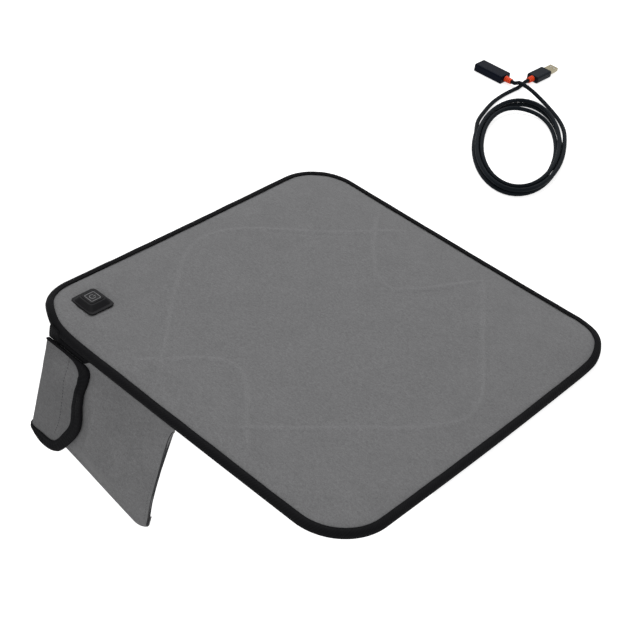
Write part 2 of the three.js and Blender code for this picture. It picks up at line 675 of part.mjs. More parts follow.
function controlHousing() {
  const shell = join(
    roundedStack([
      [FLANGE_LENGTH, FLANGE_WIDTH, FLANGE_RADIUS, FLANGE_Z],
      [FLANGE_LENGTH, FLANGE_WIDTH, FLANGE_RADIUS, DOME_Z - FLANGE_THICKNESS / 4],
      [FLANGE_LENGTH - FLANGE_THICKNESS / 2, FLANGE_WIDTH - FLANGE_THICKNESS / 2, FLANGE_RADIUS, DOME_Z],
      [DOME_FOOT, DOME_FOOT, DOME_RADIUS, DOME_Z],
      [DOME_TOP, DOME_TOP, DOME_RADIUS, DOME_TOP_Z],
    ], CONTROL_X, CONTROL_Y),
    roundedStack([
      [NECK_SIDE, NECK_SIDE, NECK_RADIUS, NECK_Z],
      [NECK_SIDE, NECK_SIDE, NECK_RADIUS, FLANGE_Z + FLANGE_THICKNESS / 2],
    ], CONTROL_X, CONTROL_Y),
  );
  const chamber = roundedStack([
    [NECK_BORE, NECK_BORE, NECK_RADIUS - HOUSING_WALL, NECK_Z - CUT_OVERRUN],
    [NECK_BORE, NECK_BORE, NECK_RADIUS - HOUSING_WALL, FLANGE_Z + FLANGE_THICKNESS / 2],
    [LIP_SIDE + 2 * FIT_GAP, LIP_SIDE + 2 * FIT_GAP, BUTTON_RADIUS, DOME_Z],
    [LIP_SIDE + 2 * FIT_GAP, LIP_SIDE + 2 * FIT_GAP, BUTTON_RADIUS, DOME_TOP_Z - HOUSING_WALL],
  ], CONTROL_X, CONTROL_Y);
  const mouth = roundedStack([
    [BUTTON_BORE, BUTTON_BORE, BUTTON_RADIUS, DOME_Z],
    [BUTTON_BORE, BUTTON_BORE, BUTTON_RADIUS, DOME_TOP_Z + CUT_OVERRUN],
  ], CONTROL_X, CONTROL_Y);
  const notch = (x, y) => block(LEAD_DIAMETER + 2 * FIT_GAP, 4 * HOUSING_WALL,
    CUT_OVERRUN + LEAD_DIAMETER + FIT_GAP, x, y, NECK_Z - CUT_OVERRUN);
  const backNotches = [FIRST_LEAD_X, SECOND_LEAD_X, SENSOR_LEAD_X].map((x) =>
    notch(x, CONTROL_Y + NECK_SIDE / 2));
  const frontNotch = notch(SUPPLY_LEAD_X, CONTROL_Y - NECK_SIDE / 2);
  const holes = screwHoles(FLANGE_Z - CUT_OVERRUN, CUT_OVERRUN + SCREW_BITE + FIT_GAP);
  return cut(shell, chamber, mouth, frontNotch, ...backNotches, ...holes);
}

function clampScrew([sideX, sideY]) {
  const [x, y] = [CONTROL_X + sideX * SCREW_SPACING / 2, CONTROL_Y + sideY * SCREW_SPACING / 2];
  const head = rod(SCREW_HEAD_DIAMETER, SCREW_HEAD_HEIGHT, x, y, SCREW_HEAD_Z, 8);
  const shankZ = SCREW_HEAD_Z + SCREW_HEAD_HEIGHT / 2;
  return join(head, rod(SCREW_DIAMETER, FLANGE_Z + SCREW_BITE - shankZ, x, y, shankZ, 8));
}

function clampPlate() {
  const size = [BACK_PLATE_SIDE, BACK_PLATE_SIDE, NECK_RADIUS];
  const plate = roundedStack([[...size, BACK_PLATE_Z], [...size, BACK_PLATE_Z + BACK_PLATE_THICKNESS]],
    CONTROL_X, CONTROL_Y);
  return cut(plate, ...screwHoles(BACK_PLATE_Z - CUT_OVERRUN, BACK_PLATE_THICKNESS + 2 * CUT_OVERRUN));
}

function pushButton() {
  const lipZ = LIP_TOP_Z - BUTTON_LIP_THICKNESS;
  const cap = roundedStack([
    [LIP_SIDE, LIP_SIDE, BUTTON_RADIUS, lipZ],
    [LIP_SIDE, LIP_SIDE, BUTTON_RADIUS, LIP_TOP_Z],
    [BUTTON_SIDE, BUTTON_SIDE, BUTTON_RADIUS, LIP_TOP_Z],
    [BUTTON_SIDE, BUTTON_SIDE, BUTTON_RADIUS, BUTTON_TOP_Z - BUTTON_PROUD / 2],
    [BUTTON_SIDE - BUTTON_PROUD, BUTTON_SIDE - BUTTON_PROUD, BUTTON_RADIUS, BUTTON_TOP_Z],
  ], CONTROL_X, CONTROL_Y);
  const stemZ = SWITCH_TOP_Z + BUTTON_TRAVEL + 2 * FIT_GAP;
  const stemLength = lipZ + BUTTON_LIP_THICKNESS / 2 - stemZ;
  const stem = rod(BUTTON_STEM_DIAMETER, stemLength, CONTROL_X, CONTROL_Y, stemZ);
  const recessSide = WINDOW_SIDE + 2 * FIT_GAP;
  const recess = roundedStack([
    [recessSide, recessSide, BUTTON_RADIUS, BUTTON_TOP_Z - WINDOW_THICKNESS - FIT_GAP],
    [recessSide, recessSide, BUTTON_RADIUS, BUTTON_TOP_Z + CUT_OVERRUN],
  ], CONTROL_X, CONTROL_Y);
  const lightHole = rod(LIGHT_HOLE_DIAMETER, BUTTON_TOP_Z - lipZ, CONTROL_X, CONTROL_Y + LED_OFFSET,
    lipZ - CUT_OVERRUN);
  return cut(join(cap, stem), recess, lightHole);
}

function tactSwitch() {
  const body = block(SWITCH_SIDE, SWITCH_SIDE, SWITCH_HEIGHT, CONTROL_X, CONTROL_Y, SWITCH_Z);
  const bore = rod(PLUNGER_DIAMETER + 2 * FIT_GAP, PLUNGER_BORE_DEPTH + CUT_OVERRUN,
    CONTROL_X, CONTROL_Y, SWITCH_TOP_Z - PLUNGER_BORE_DEPTH);
  return cut(body, bore);
}

// Parts in line with the wire, and the leads that join them to the circuit board
const acrossPad = (diameter, length, x, y) => rod(diameter, length, 0, 0, -length / 2)
  .rotateY(Math.PI / 2)
  .translate(x, y, CARRIER_TOP + FIT_GAP + diameter / 2);
const alongPad = (diameter, length, x, y) => rod(diameter, length, 0, 0, -length / 2)
  .rotateX(Math.PI / 2)
  .translate(x, y, CARRIER_TOP + FIT_GAP + diameter / 2);

const boardEdge = (side) => CONTROL_Y + side * (BOARD_SIDE / 2 + FIT_GAP);
const outsideNeck = (side) => CONTROL_Y + side * (NECK_SIDE / 2 + LEAD_STRAIGHT);

const leadRoute = (points, steps) => smoothRoute(points.map((point) => new THREE.Vector3(...point)), steps);
const lead = (points, steps = 14) => tube(leadRoute(points, steps), LEAD_DIAMETER, WIRE_SIDES);

// A lead from a part on the pad to the back edge of the board
function boardLead(x, y, z, boardX) {
  return lead([
    [x, y, z],
    [x, y - LEAD_DIAMETER, z],
    [(x + boardX) / 2, (y + outsideNeck(1)) / 2, (z + LEAD_Z) / 2],
    [boardX, outsideNeck(1), LEAD_Z],
    [boardX, boardEdge(1), LEAD_Z],
  ]);
}

function sensorLead() {
  const z = CARRIER_TOP + FIT_GAP + SENSOR_DIAMETER / 2;
  const x = SENSOR_X - SENSOR_LENGTH / 2 - FIT_GAP;
  return lead([
    [x, SENSOR_Y, z],
    [x - LEAD_DIAMETER, SENSOR_Y, z],
    [0.4 * x + 0.6 * SENSOR_LEAD_X, 0.4 * SENSOR_Y + 0.6 * outsideNeck(1), (z + LEAD_Z) / 2],
    [SENSOR_LEAD_X, outsideNeck(1), LEAD_Z],
    [SENSOR_LEAD_X, boardEdge(1), LEAD_Z],
  ]);
}

// The supply lead runs inside the front edge to the gland above the pocket
function supplyLead() {
  const lane = FRONT_EDGE + SUPPLY_LANE;
  const glandSide = FRONT_EDGE + GLAND_INSET + GLAND_DIAMETER / 2 + FIT_GAP;
  const descent = glandSide + 3 * LEAD_DIAMETER;
  const route = leadRoute([
    [SUPPLY_LEAD_X, boardEdge(-1), LEAD_Z],
    [SUPPLY_LEAD_X, outsideNeck(-1), LEAD_Z],
    [SUPPLY_LEAD_X + 4 * LEAD_DIAMETER, lane, WIRE_Z],
    [GLAND_X - 5 * LEAD_DIAMETER, lane, WIRE_Z],
    [GLAND_X, lane - 4 * LEAD_DIAMETER, WIRE_Z],
    [GLAND_X, descent, WIRE_Z],
    [GLAND_X, glandSide, LINING_MARGIN_TOP + FIT_GAP + LEAD_DIAMETER / 2],
  ], 28);
  const clear = route.map((point) => (point.y > descent ? point.setZ(Math.max(point.z, WIRE_Z)) : point));
  return tube(clear, LEAD_DIAMETER, WIRE_SIDES);
}

function leadGland() {
  const bottom = BINDING_UNDERSIDE + FIT_GAP / 2;
  const top = COVER_MARGIN_BOTTOM - FIT_GAP;
  const y = FRONT_EDGE + GLAND_INSET;
  const body = rod(GLAND_DIAMETER, top - bottom, GLAND_X, y, bottom);
  return cut(body, rod(GLAND_BORE, top - LINING_THICKNESS, GLAND_X, y, 0, 8));
}

// Pieces of the cushion
const wire = wireRoute();
const carrierInset = UNDERSIDE_SLOPE + WADDING_SHOULDER + 5 * FIT_GAP;
addMesh(part, 'bottom_cover', bottomCover(), liningCloth);
addMesh(part, 'wadding', wadding(), paleWadding);
addMesh(part, 'wire_carrier', layer([
  [HALF_SIDE, CARRIER_BOTTOM],
  [carrierInset, CARRIER_BOTTOM],
  [carrierInset, CARRIER_TOP],
  [HALF_SIDE, CARRIER_TOP],
]), paleWadding);
addMesh(part, 'heating_wire', tube(wire, WIRE_DIAMETER, WIRE_SIDES), redSilicone);
addMesh(part, 'top_cover', topCover(), felt);
addMesh(part, 'edge_binding', edgeBinding(), blackTape);
addMesh(part, 'thermal_cutout', block(CUTOUT_WIDTH, CUTOUT_LENGTH, CUTOUT_HEIGHT,
  CUTOUT_X, CUTOUT_Y, CARRIER_TOP + FIT_GAP), whiteResin);
addMesh(part, 'wire_splice', alongPad(SPLICE_DIAMETER, SPLICE_LENGTH, SPLICE_X, SPLICE_Y), blackResin);
addMesh(part, 'temperature_sensor', acrossPad(SENSOR_DIAMETER, SENSOR_LENGTH, SENSOR_X, SENSOR_Y),
  blackResin);
addMesh(part, 'element_lead_1', boardLead(CUTOUT_X, CUTOUT_Y - CUTOUT_LENGTH / 2 - FIT_GAP,
  CARRIER_TOP + FIT_GAP + CUTOUT_HEIGHT / 2, FIRST_LEAD_X), redSilicone);
addMesh(part, 'element_lead_2', boardLead(SPLICE_X, SPLICE_Y - SPLICE_LENGTH / 2 - FIT_GAP,
  CARRIER_TOP + FIT_GAP + SPLICE_DIAMETER / 2, SECOND_LEAD_X), redSilicone);
addMesh(part, 'sensor_lead', sensorLead(), cordJacket);
addMesh(part, 'supply_lead', supplyLead(), cordJacket);
addMesh(part, 'lead_gland', leadGland(), blackRubber);

// Pieces of the control
const plungerZ = SWITCH_TOP_Z - PLUNGER_BORE_DEPTH + BUTTON_TRAVEL + FIT_GAP;
const plungerTopZ = SWITCH_TOP_Z + BUTTON_TRAVEL + FIT_GAP;
addMesh(part, 'control_housing', controlHousing(), blackRubber);
addMesh(part, 'push_button', pushButton(), blackRubber);
addMesh(part, 'light_window', roundedStack([
  [WINDOW_SIDE, WINDOW_SIDE, BUTTON_RADIUS - FIT_GAP, BUTTON_TOP_Z - WINDOW_THICKNESS],
  [WINDOW_SIDE, WINDOW_SIDE, BUTTON_RADIUS - FIT_GAP, BUTTON_TOP_Z],
], CONTROL_X, CONTROL_Y), tintedWindow);
addMesh(part, 'switch_plunger', rod(PLUNGER_DIAMETER, plungerTopZ - plungerZ, CONTROL_X, CONTROL_Y, plungerZ),
  blackResin);
addMesh(part, 'tact_switch', tactSwitch(), blackResin);
addMesh(part, 'circuit_board', roundedStack([
  [BOARD_SIDE, BOARD_SIDE, NECK_RADIUS - HOUSING_WALL, NECK_Z],
  [BOARD_SIDE, BOARD_SIDE, NECK_RADIUS - HOUSING_WALL, NECK_Z + BOARD_THICKNESS],
], CONTROL_X, CONTROL_Y), greenBoard);
addMesh(part, 'status_led', block(LED_LENGTH, LED_WIDTH, LED_HEIGHT,
  CONTROL_X, CONTROL_Y + LED_OFFSET, SWITCH_Z), clearResin);
addMesh(part, 'control_chip', block(CHIP_LENGTH, CHIP_WIDTH, CHIP_HEIGHT,
  CONTROL_X, CONTROL_Y - SWITCH_SIDE / 2 - CHIP_WIDTH / 2 - FIT_GAP, SWITCH_Z), blackResin);
addMesh(part, 'clamp_plate', clampPlate(), blackResin);
SCREW_PLACES.forEach((place, k) => addMesh(part, `clamp_screw_${k + 1}`, clampScrew(place), steel));

// Hinge tape under the front edge, which the pocket hangs from
const tapeTop = BINDING_UNDERSIDE - FIT_GAP + HINGE_DROP;
const prismAlongX = (section, left, right) => loft(
  [left, right].map((x) => section.map(([y, z]) => new THREE.Vector3(x, y, z))),
  { caps: capsOf(section.map(([y, z]) => new THREE.Vector2(y, z))) },
);

function hingeTape() {
  const round = Array.from({ length: 7 }, (_, k) => {
    const angle = Math.PI * (1 + k / 6);
    return [TAPE_WALL / 2 * Math.cos(angle), TAPE_WALL / 2 * Math.sin(angle)];
  });
  return prismAlongX([
    [TAPE_REACH, tapeTop - TAPE_THICKNESS],
    [TAPE_REACH, tapeTop],
    [-TAPE_WALL / 2, tapeTop],
    ...round,
    [TAPE_WALL / 2, tapeTop - TAPE_THICKNESS],
  ], POCKET_LEFT, POCKET_RIGHT);
}

const tapeMesh = addMesh(part, 'hinge_tape', hingeTape(), blackTape);
tapeMesh.position.set(0, HINGE_Y, -HINGE_DROP);

// Pocket, a flat back and a front that stands out around what it holds
const FRONT_INNER = POCKET_BACK_OFFSET - FIT_GAP;
const FRONT_FACE = POCKET_BACK_OFFSET - POCKET_INTERIOR - POCKET_CLOTH;
const pocketX = (u) => POCKET_LEFT + u * POCKET_LENGTH;
// The bottom edge slopes down to the right and turns up again at the right corner
const cornerRise = (u) =>
  POCKET_CORNER_RISE * Math.max(0, (u - 1 + POCKET_CORNER_SHARE) / POCKET_CORNER_SHARE) ** 2;
const pocketZ = (u, v) => -POCKET_HEM_DROP
  - v * (THREE.MathUtils.lerp(POCKET_DROP_LEFT, POCKET_DROP_RIGHT, u) - cornerRise(u));

function pocketStandOut(u, v) {
  const upright = THREE.MathUtils.smoothstep(Math.min(v, 1 - v), 0, POCKET_END_SHARE);
  const along = 1 - THREE.MathUtils.smoothstep(u, POCKET_FULL_SHARE, POCKET_CLOSED_SHARE);
  const folds = POCKET_FOLD_SHARES.reduce((sum, share) =>
    sum + Math.exp(-(((u - share) / POCKET_FOLD_WIDTH_SHARE) ** 2)), 0);
  return upright * ((POCKET_INTERIOR - FIT_GAP) * along + POCKET_FOLD_DEPTH * folds);
}

function clothPanel(columns, rows, faceAt, firstShare = 0) {
  const rings = Array.from({ length: columns + 1 }, (_, k) => {
    const u = THREE.MathUtils.lerp(firstShare, 1, k / columns);
    const outer = rows.map((v) => new THREE.Vector3(pocketX(u), faceAt(u, v), pocketZ(u, v)));
    const inner = outer.map((corner) => corner.clone().setY(corner.y + POCKET_CLOTH)).reverse();
    return [...outer, ...inner];
  });
  return loft(rings, { caps: capsOf(rings[0].map(({ y, z }) => new THREE.Vector2(y, z))) });
}

function seamTape() {
  const outer = POCKET_RIGHT + FIT_GAP + SEAM_TAPE_WALL;
  const height = POCKET_DROP_RIGHT - POCKET_CORNER_RISE - POCKET_HEM_DROP;
  const frontSide = FRONT_INNER - POCKET_CLOTH - FIT_GAP;
  const backSide = POCKET_BACK_OFFSET + POCKET_CLOTH + FIT_GAP;
  const middle = (frontSide + backSide) / 2;
  const depth = backSide - frontSide;
  const width = SEAM_TAPE_LAP + FIT_GAP + SEAM_TAPE_WALL;
  const body = block(width, depth + 2 * SEAM_TAPE_WALL, height, outer - width / 2, middle,
    -POCKET_HEM_DROP - height);
  const slot = block(width, depth, height + 2 * CUT_OVERRUN, outer - SEAM_TAPE_WALL - width / 2, middle,
    -POCKET_HEM_DROP - height - CUT_OVERRUN);
  return cut(body, slot);
}

const pocket = new THREE.Group();
pocket.position.set(0, HINGE_Y, -HINGE_DROP);
pocket.rotation.x = -POCKET_LEAN;
part.add(pocket);
// The back reaches beyond the open end, to the line that the flap turns about
addMesh(pocket, 'pocket_back', clothPanel(8, [0, 0.5, 1], () => POCKET_BACK_OFFSET,
  -FLAP_STANDOFF / POCKET_LENGTH), liningCloth);
addMesh(pocket, 'pocket_front', clothPanel(POCKET_COLUMNS, POCKET_ROW_SHARES,
  (u, v) => FRONT_INNER - POCKET_CLOTH - pocketStandOut(u, v)), felt);
addMesh(pocket, 'pocket_seam_tape', seamTape(), blackTape);

// Closing flap in two parts: a gusset that turns round the open end, and beyond a fold the panel that
// the hook and loop strips hold
const FLAP_WALL_X = POCKET_LEFT - FLAP_STANDOFF;
const FLAP_ROOT_Y = POCKET_BACK_OFFSET - FIT_GAP;
const HOOK_FACE = FRONT_FACE - STRIP_THICKNESS - 2 * STRIP_GAP;
const FLAP_PLANE = HOOK_FACE - STRIP_THICKNESS - STRIP_GAP - FLAP_CLOTH / 2;
const FLAP_WALL_RUN = FLAP_ROOT_Y - FLAP_PLANE - FLAP_FOLD_RADIUS;
const FLAP_ARC_RUN = FLAP_FOLD_RADIUS * Math.PI / 2;
const FOLD_RUN = FLAP_WALL_RUN + FLAP_ARC_RUN;
const FLAP_RUN = FOLD_RUN + FLAP_REACH - FLAP_FOLD_RADIUS;
const CLOTH_HALF = FLAP_CLOTH / 2;
const BINDING_INSIDE = CLOTH_HALF + FIT_GAP;
const BINDING_OUTSIDE = BINDING_INSIDE + FLAP_BINDING_THICKNESS;

// A place on the folded flap, from its run, its distance outward and its height
function onFlap(run, outward, z) {
  if (run < FLAP_WALL_RUN) return new THREE.Vector3(FLAP_WALL_X - outward, FLAP_ROOT_Y - run, z);
  const [centreX, centreY] = [FLAP_WALL_X + FLAP_FOLD_RADIUS, FLAP_ROOT_Y - FLAP_WALL_RUN];
  const radius = FLAP_FOLD_RADIUS + outward;
  const turned = (run - FLAP_WALL_RUN) / FLAP_FOLD_RADIUS;
  if (turned < Math.PI / 2) {
    return new THREE.Vector3(centreX - radius * Math.cos(turned), centreY - radius * Math.sin(turned), z);
  }
  return new THREE.Vector3(centreX + run - FLAP_WALL_RUN - FLAP_ARC_RUN, centreY - radius, z);
}

// Outline of the flap laid flat, from the top edge round the free end to the root
const topArcRun = FLAP_RUN - FLAP_TOP_RADIUS;
const bottomArcRun = FLAP_RUN - FLAP_NARROWING - FLAP_BOTTOM_RADIUS;
const sideTopZ = -FLAP_TOP - FLAP_TOP_RADIUS;
const sideBottomZ = -FLAP_BOTTOM + FLAP_BOTTOM_RADIUS;

function flapTopZ(run) {
  const over = THREE.MathUtils.clamp((run - topArcRun) / FLAP_TOP_RADIUS, 0, 1);
  return sideTopZ + FLAP_TOP_RADIUS * Math.sqrt(1 - over ** 2);
}

function flapBottomZ(run) {
  if (run < bottomArcRun) return -FLAP_BOTTOM + FLAP_LEFT_RISE * (1 - run / bottomArcRun) ** 1.5;
  const over = (run - bottomArcRun) / FLAP_BOTTOM_RADIUS;
  if (over < 1) return sideBottomZ - FLAP_BOTTOM_RADIUS * Math.sqrt(1 - over ** 2);
  return THREE.MathUtils.lerp(sideBottomZ, sideTopZ, (run - FLAP_RUN + FLAP_NARROWING) / FLAP_NARROWING);
}

// Cloth of the flap through the given runs
function flapCloth(runs) {
  const rows = [0, 0.2, 0.4, 0.6, 0.8, 1];
  const rings = runs.map((run) => {
    const face = (outward) => rows.map((row) =>
      onFlap(run, outward, THREE.MathUtils.lerp(flapTopZ(run), flapBottomZ(run), row)));
    return [...face(CLOTH_HALF), ...face(-CLOTH_HALF).reverse()];
  });
  const flat = [...rows.map((row) => [row, 1]), ...rows.map((row) => [row, -1]).reverse()];
  return loft(rings, { caps: capsOf(flat.map(([row, side]) => new THREE.Vector2(row, side))) });
}

function flapGusset() {
  return flapCloth([
    0, FLAP_WALL_RUN / 2, FLAP_WALL_RUN,
    ...[0.25, 0.5, 0.75].map((share) => FLAP_WALL_RUN + share * FLAP_ARC_RUN),
    FOLD_RUN - BINDING_INSIDE,
  ]);
}

function flapPanel() {
  return flapCloth([
    FOLD_RUN + BINDING_INSIDE, (FOLD_RUN + bottomArcRun) / 2, bottomArcRun,
    ...[0.35, 0.6, 0.78, 0.9, 0.97].map((share) => bottomArcRun + share * FLAP_BOTTOM_RADIUS),
    ...[0, 0.3, 0.6, 0.85, 0.99].map((share) => FLAP_RUN - (1 - share) * FLAP_NARROWING),
  ]);
}

// A place on the flap's bottom edge with the lap of the binding there, which narrows to the root
function onBottomEdge(run) {
  const share = THREE.MathUtils.smoothstep(run, 0, FLAP_BINDING_TAPER);
  return [run, flapBottomZ(run), FLAP_BINDING_WIDTH * THREE.MathUtils.lerp(FLAP_BINDING_END_SHARE, 1, share)];
}

// Binding folded over the flap's edge, through [run, height, lap]
function flapTape(places) {
  const path = places.map(([run, z]) => new THREE.Vector2(run, z));
  const rings = places.map(([, , width], k) => {
    const ahead = path[Math.min(k + 1, path.length - 1)].clone().sub(path[Math.max(k - 1, 0)]).normalize();
    const inward = new THREE.Vector2(ahead.y, -ahead.x);
    const edge = -FIT_GAP - FLAP_BINDING_THICKNESS;
    const lap = width + edge;
    return [
      [lap, BINDING_OUTSIDE], [edge, BINDING_OUTSIDE], [edge, -BINDING_OUTSIDE], [lap, -BINDING_OUTSIDE],
      [lap, -BINDING_INSIDE], [-FIT_GAP, -BINDING_INSIDE], [-FIT_GAP, BINDING_INSIDE], [lap, BINDING_INSIDE],
    ].map(([inset, outward]) => {
      const place = path[k].clone().addScaledVector(inward, inset);
      return onFlap(place.x, outward, place.y);
    });
  });
  const flat = [[2, 2], [-1, 2], [-1, -2], [2, -2], [2, -1], [0, -1], [0, 1], [2, 1]];
  return loft(rings, { caps: capsOf(flat.map(([a, b]) => new THREE.Vector2(a, b))) });
}

function flapBinding() {
  const quarterArc = (centreRun, centreZ, radius, from) =>
    Array.from({ length: FLAP_ARC_STEPS + 1 }, (_, k) => {
      const angle = from - k / FLAP_ARC_STEPS * Math.PI / 2;
      return [centreRun + radius * Math.cos(angle), centreZ + radius * Math.sin(angle), FLAP_BINDING_WIDTH];
    });
  return flapTape([
    [topArcRun - FLAP_BINDING_WIDTH, -FLAP_TOP, FLAP_BINDING_WIDTH],
    ...quarterArc(topArcRun, sideTopZ, FLAP_TOP_RADIUS, Math.PI / 2),
    ...quarterArc(bottomArcRun, sideBottomZ, FLAP_BOTTOM_RADIUS, 0),
    ...[0.8, 0.6].map((share) => onBottomEdge(share * bottomArcRun)),
    onBottomEdge(FOLD_RUN + BINDING_OUTSIDE + 2 * FIT_GAP),
  ]);
}

function gussetBinding() {
  return flapTape([
    FOLD_RUN - BINDING_OUTSIDE - 2 * FIT_GAP,
    FLAP_WALL_RUN + FLAP_ARC_RUN / 3,
    FLAP_WALL_RUN,
    0.3 * FLAP_WALL_RUN,
  ].map(onBottomEdge));
}

const flap = new THREE.Group();
pocket.add(flap);
addMesh(flap, 'flap_gusset', flapGusset(), felt);
addMesh(flap, 'gusset_binding', gussetBinding(), blackTape);
const stripX = FLAP_WALL_X + FLAP_REACH - STRIP_SETBACK - STRIP_WIDTH / 2;
const stripZ = -STRIP_TOP - STRIP_LENGTH;
addMesh(pocket, 'loop_strip', block(STRIP_WIDTH, STRIP_THICKNESS, STRIP_LENGTH,
  stripX, FRONT_FACE - STRIP_GAP - STRIP_THICKNESS / 2, stripZ), blackTape);
addMesh(flap, 'hook_strip', block(STRIP_WIDTH, STRIP_THICKNESS, STRIP_LENGTH,
  stripX, HOOK_FACE - STRIP_THICKNESS / 2, stripZ), blackTape);
addMesh(flap, 'flap_panel', flapPanel(), felt);
addMesh(flap, 'flap_binding', flapBinding(), blackTape);

// Extension lead: a coil that spirals in on the lower layer and out again on the upper one
const coilLong = new THREE.Vector3(Math.cos(COIL_TURN), Math.sin(COIL_TURN), 0);
const coilShort = new THREE.Vector3(Math.sin(COIL_TURN), -Math.cos(COIL_TURN), 0);

function coilRoute() {
  const steps = COIL_TURNS * LOOP_STEPS;
  const half = COIL_TURNS / 2;
  const points = Array.from({ length: steps + 1 }, (_, k) => {
    const turned = k / LOOP_STEPS;
    const angle = 1.5 * Math.PI - 2 * Math.PI * turned;
    const inward = half - Math.abs(turned - half);
    const slack = COIL_SLACK * Math.exp(-(((turned - half) / COIL_SLACK_TURNS) ** 2));
    const climb = THREE.MathUtils.smoothstep(turned, half - 0.25, half + 0.25);
    return new THREE.Vector3(COIL_CENTRE_X, COIL_CENTRE_Y, CORD_DIAMETER / 2)
      .addScaledVector(coilLong, (COIL_HALF_LENGTH - inward * COIL_LENGTH_PITCH - slack) * Math.cos(angle))
      .addScaledVector(coilShort, (COIL_HALF_WIDTH - inward * COIL_WIDTH_PITCH) * Math.sin(angle))
      .setZ(CORD_DIAMETER / 2 + climb * (CORD_DIAMETER + COIL_LAYER_GAP));
  });
  const first = points[0].clone().addScaledVector(coilLong, CORD_DIAMETER);
  const last = points[steps].clone().addScaledVector(coilLong, CORD_DIAMETER);
  return [first, ...points, last];
}

const coil = coilRoute();
const coilStart = coil[0];
const coilEnd = coil[coil.length - 1];

// Hand-laid points of the two ends of the lead that aren't coiled
const PLUG_TAIL_POINTS = [
  [-168.5, 535.5, 2.5], [-168.6, 527.1, 2.5], [-168.5, 505.5, 2.5], [-165.5, 480.2, 2.5],
  [-158.2, 453.1, 2.5], [-148.2, 426.1, 2.5],
];
const SOCKET_TAIL_POINTS = [
  [-64.1, 483.8, 7.6], [-85.2, 504.8, 5.6], [-108.8, 521.4, 3.6], [-131.3, 531.4, 4.8],
  [-150, 535.3, 7.8], [-161, 536.4, 8.8], [-169.4, 536.6, 8.7],
];
const handLaid = (points) => points.map((point) => new THREE.Vector3(...point));

function plugTail() {
  const end = new THREE.Vector3(PLUG_EXIT_X, PLUG_EXIT_Y - FIT_GAP, PLUG_BODY_HEIGHT / 2);
  const meet = coilStart.clone().addScaledVector(coilLong, FIT_GAP);
  const straight = meet.clone().addScaledVector(coilLong, CORD_DIAMETER);
  const beforeEnd = end.clone().setY(end.y - CORD_DIAMETER);
  return smoothRoute([end, beforeEnd, ...handLaid(PLUG_TAIL_POINTS), straight, meet], 20);
}

function socketTail() {
  const end = new THREE.Vector3(SOCKET_EXIT_X + FIT_GAP, SOCKET_EXIT_Y, SOCKET_HEIGHT / 2);
  const meet = coilEnd.clone().addScaledVector(coilLong, FIT_GAP);
  const straight = meet.clone().addScaledVector(coilLong, CORD_DIAMETER);
  const beforeEnd = end.clone().setX(end.x + CORD_DIAMETER);
  return smoothRoute([meet, straight, ...handLaid(SOCKET_TAIL_POINTS), beforeEnd, end], 28);
}

// Connectors are built along their own Z axis, from the cord's end
function connector(x, y, height, direction) {
  const group = new THREE.Group();
  const up = new THREE.Vector3(0, 0, 1);
  const side = up.clone().cross(direction);
  group.setRotationFromMatrix(new THREE.Matrix4().makeBasis(side, up, direction));
  group.position.set(x, y, height / 2);
  part.add(group);
  return group;
}

function strainRelief() {
  const rib = RELIEF_LENGTH / (2 * RELIEF_RIBS + 1);
  const radiusAt = (z) =>
    THREE.MathUtils.lerp(RELIEF_TIP_DIAMETER, RELIEF_ROOT_DIAMETER, z / RELIEF_LENGTH) / 2;
  const profile = [new THREE.Vector2(0, 0)];
  for (let k = 0; k < 2 * RELIEF_RIBS + 1; k++) {
    const depth = k % 2 === 1 ? RELIEF_GROOVE : 0;
    profile.push(new THREE.Vector2(radiusAt(k * rib) - depth, k * rib));
    profile.push(new THREE.Vector2(radiusAt((k + 1) * rib) - depth, (k + 1) * rib));
  }
  profile.push(new THREE.Vector2(0, RELIEF_LENGTH));
  return toGeometry(toSolid(new THREE.LatheGeometry(profile, 12).rotateX(Math.PI / 2)));
}

function connectorBody(width, height, length, radius) {
  const z = RELIEF_LENGTH + FIT_GAP;
  const edge = radius / 3;
  return roundedStack([
    [width - 2 * edge, height - 2 * edge, radius - edge, z],
    [width, height, radius, z + edge],
    [width, height, radius, z + length - edge],
    [width - edge, height - edge, radius - edge / 2, z + length],
  ]);
}

const socketFaceZ = RELIEF_LENGTH + FIT_GAP + SOCKET_LENGTH;
const socketFloorZ = socketFaceZ - SOCKET_MOUTH_DEPTH;
const plugFaceZ = RELIEF_LENGTH + FIT_GAP + PLUG_BODY_LENGTH;

function socketHousing() {
  const body = connectorBody(SOCKET_WIDTH, SOCKET_HEIGHT, SOCKET_LENGTH, SOCKET_RADIUS);
  return cut(body, block(SOCKET_SHELL_WIDTH + 2 * FIT_GAP, SOCKET_SHELL_HEIGHT + 2 * FIT_GAP,
    SOCKET_MOUTH_DEPTH + CUT_OVERRUN, 0, 0, socketFloorZ));
}

function metalShell(width, height, z, length) {
  return cut(
    block(width, height, length, 0, 0, z),
    block(width - 2 * SHELL_WALL, height - 2 * SHELL_WALL, length + 2 * CUT_OVERRUN, 0, 0, z - CUT_OVERRUN),
  );
}

function socketTongue() {
  const z = socketFloorZ + FIT_GAP;
  const base = block(SOCKET_SHELL_WIDTH - 2 * SHELL_WALL - 2 * FIT_GAP,
    SOCKET_SHELL_HEIGHT - 2 * SHELL_WALL - 2 * FIT_GAP, TONGUE_BASE, 0, 0, z);
  const blade = block(SOCKET_TONGUE_WIDTH, SOCKET_TONGUE_THICKNESS, TONGUE_BASE + SOCKET_TONGUE_LENGTH,
    0, SOCKET_TONGUE_OFFSET, z);
  return join(base, blade);
}

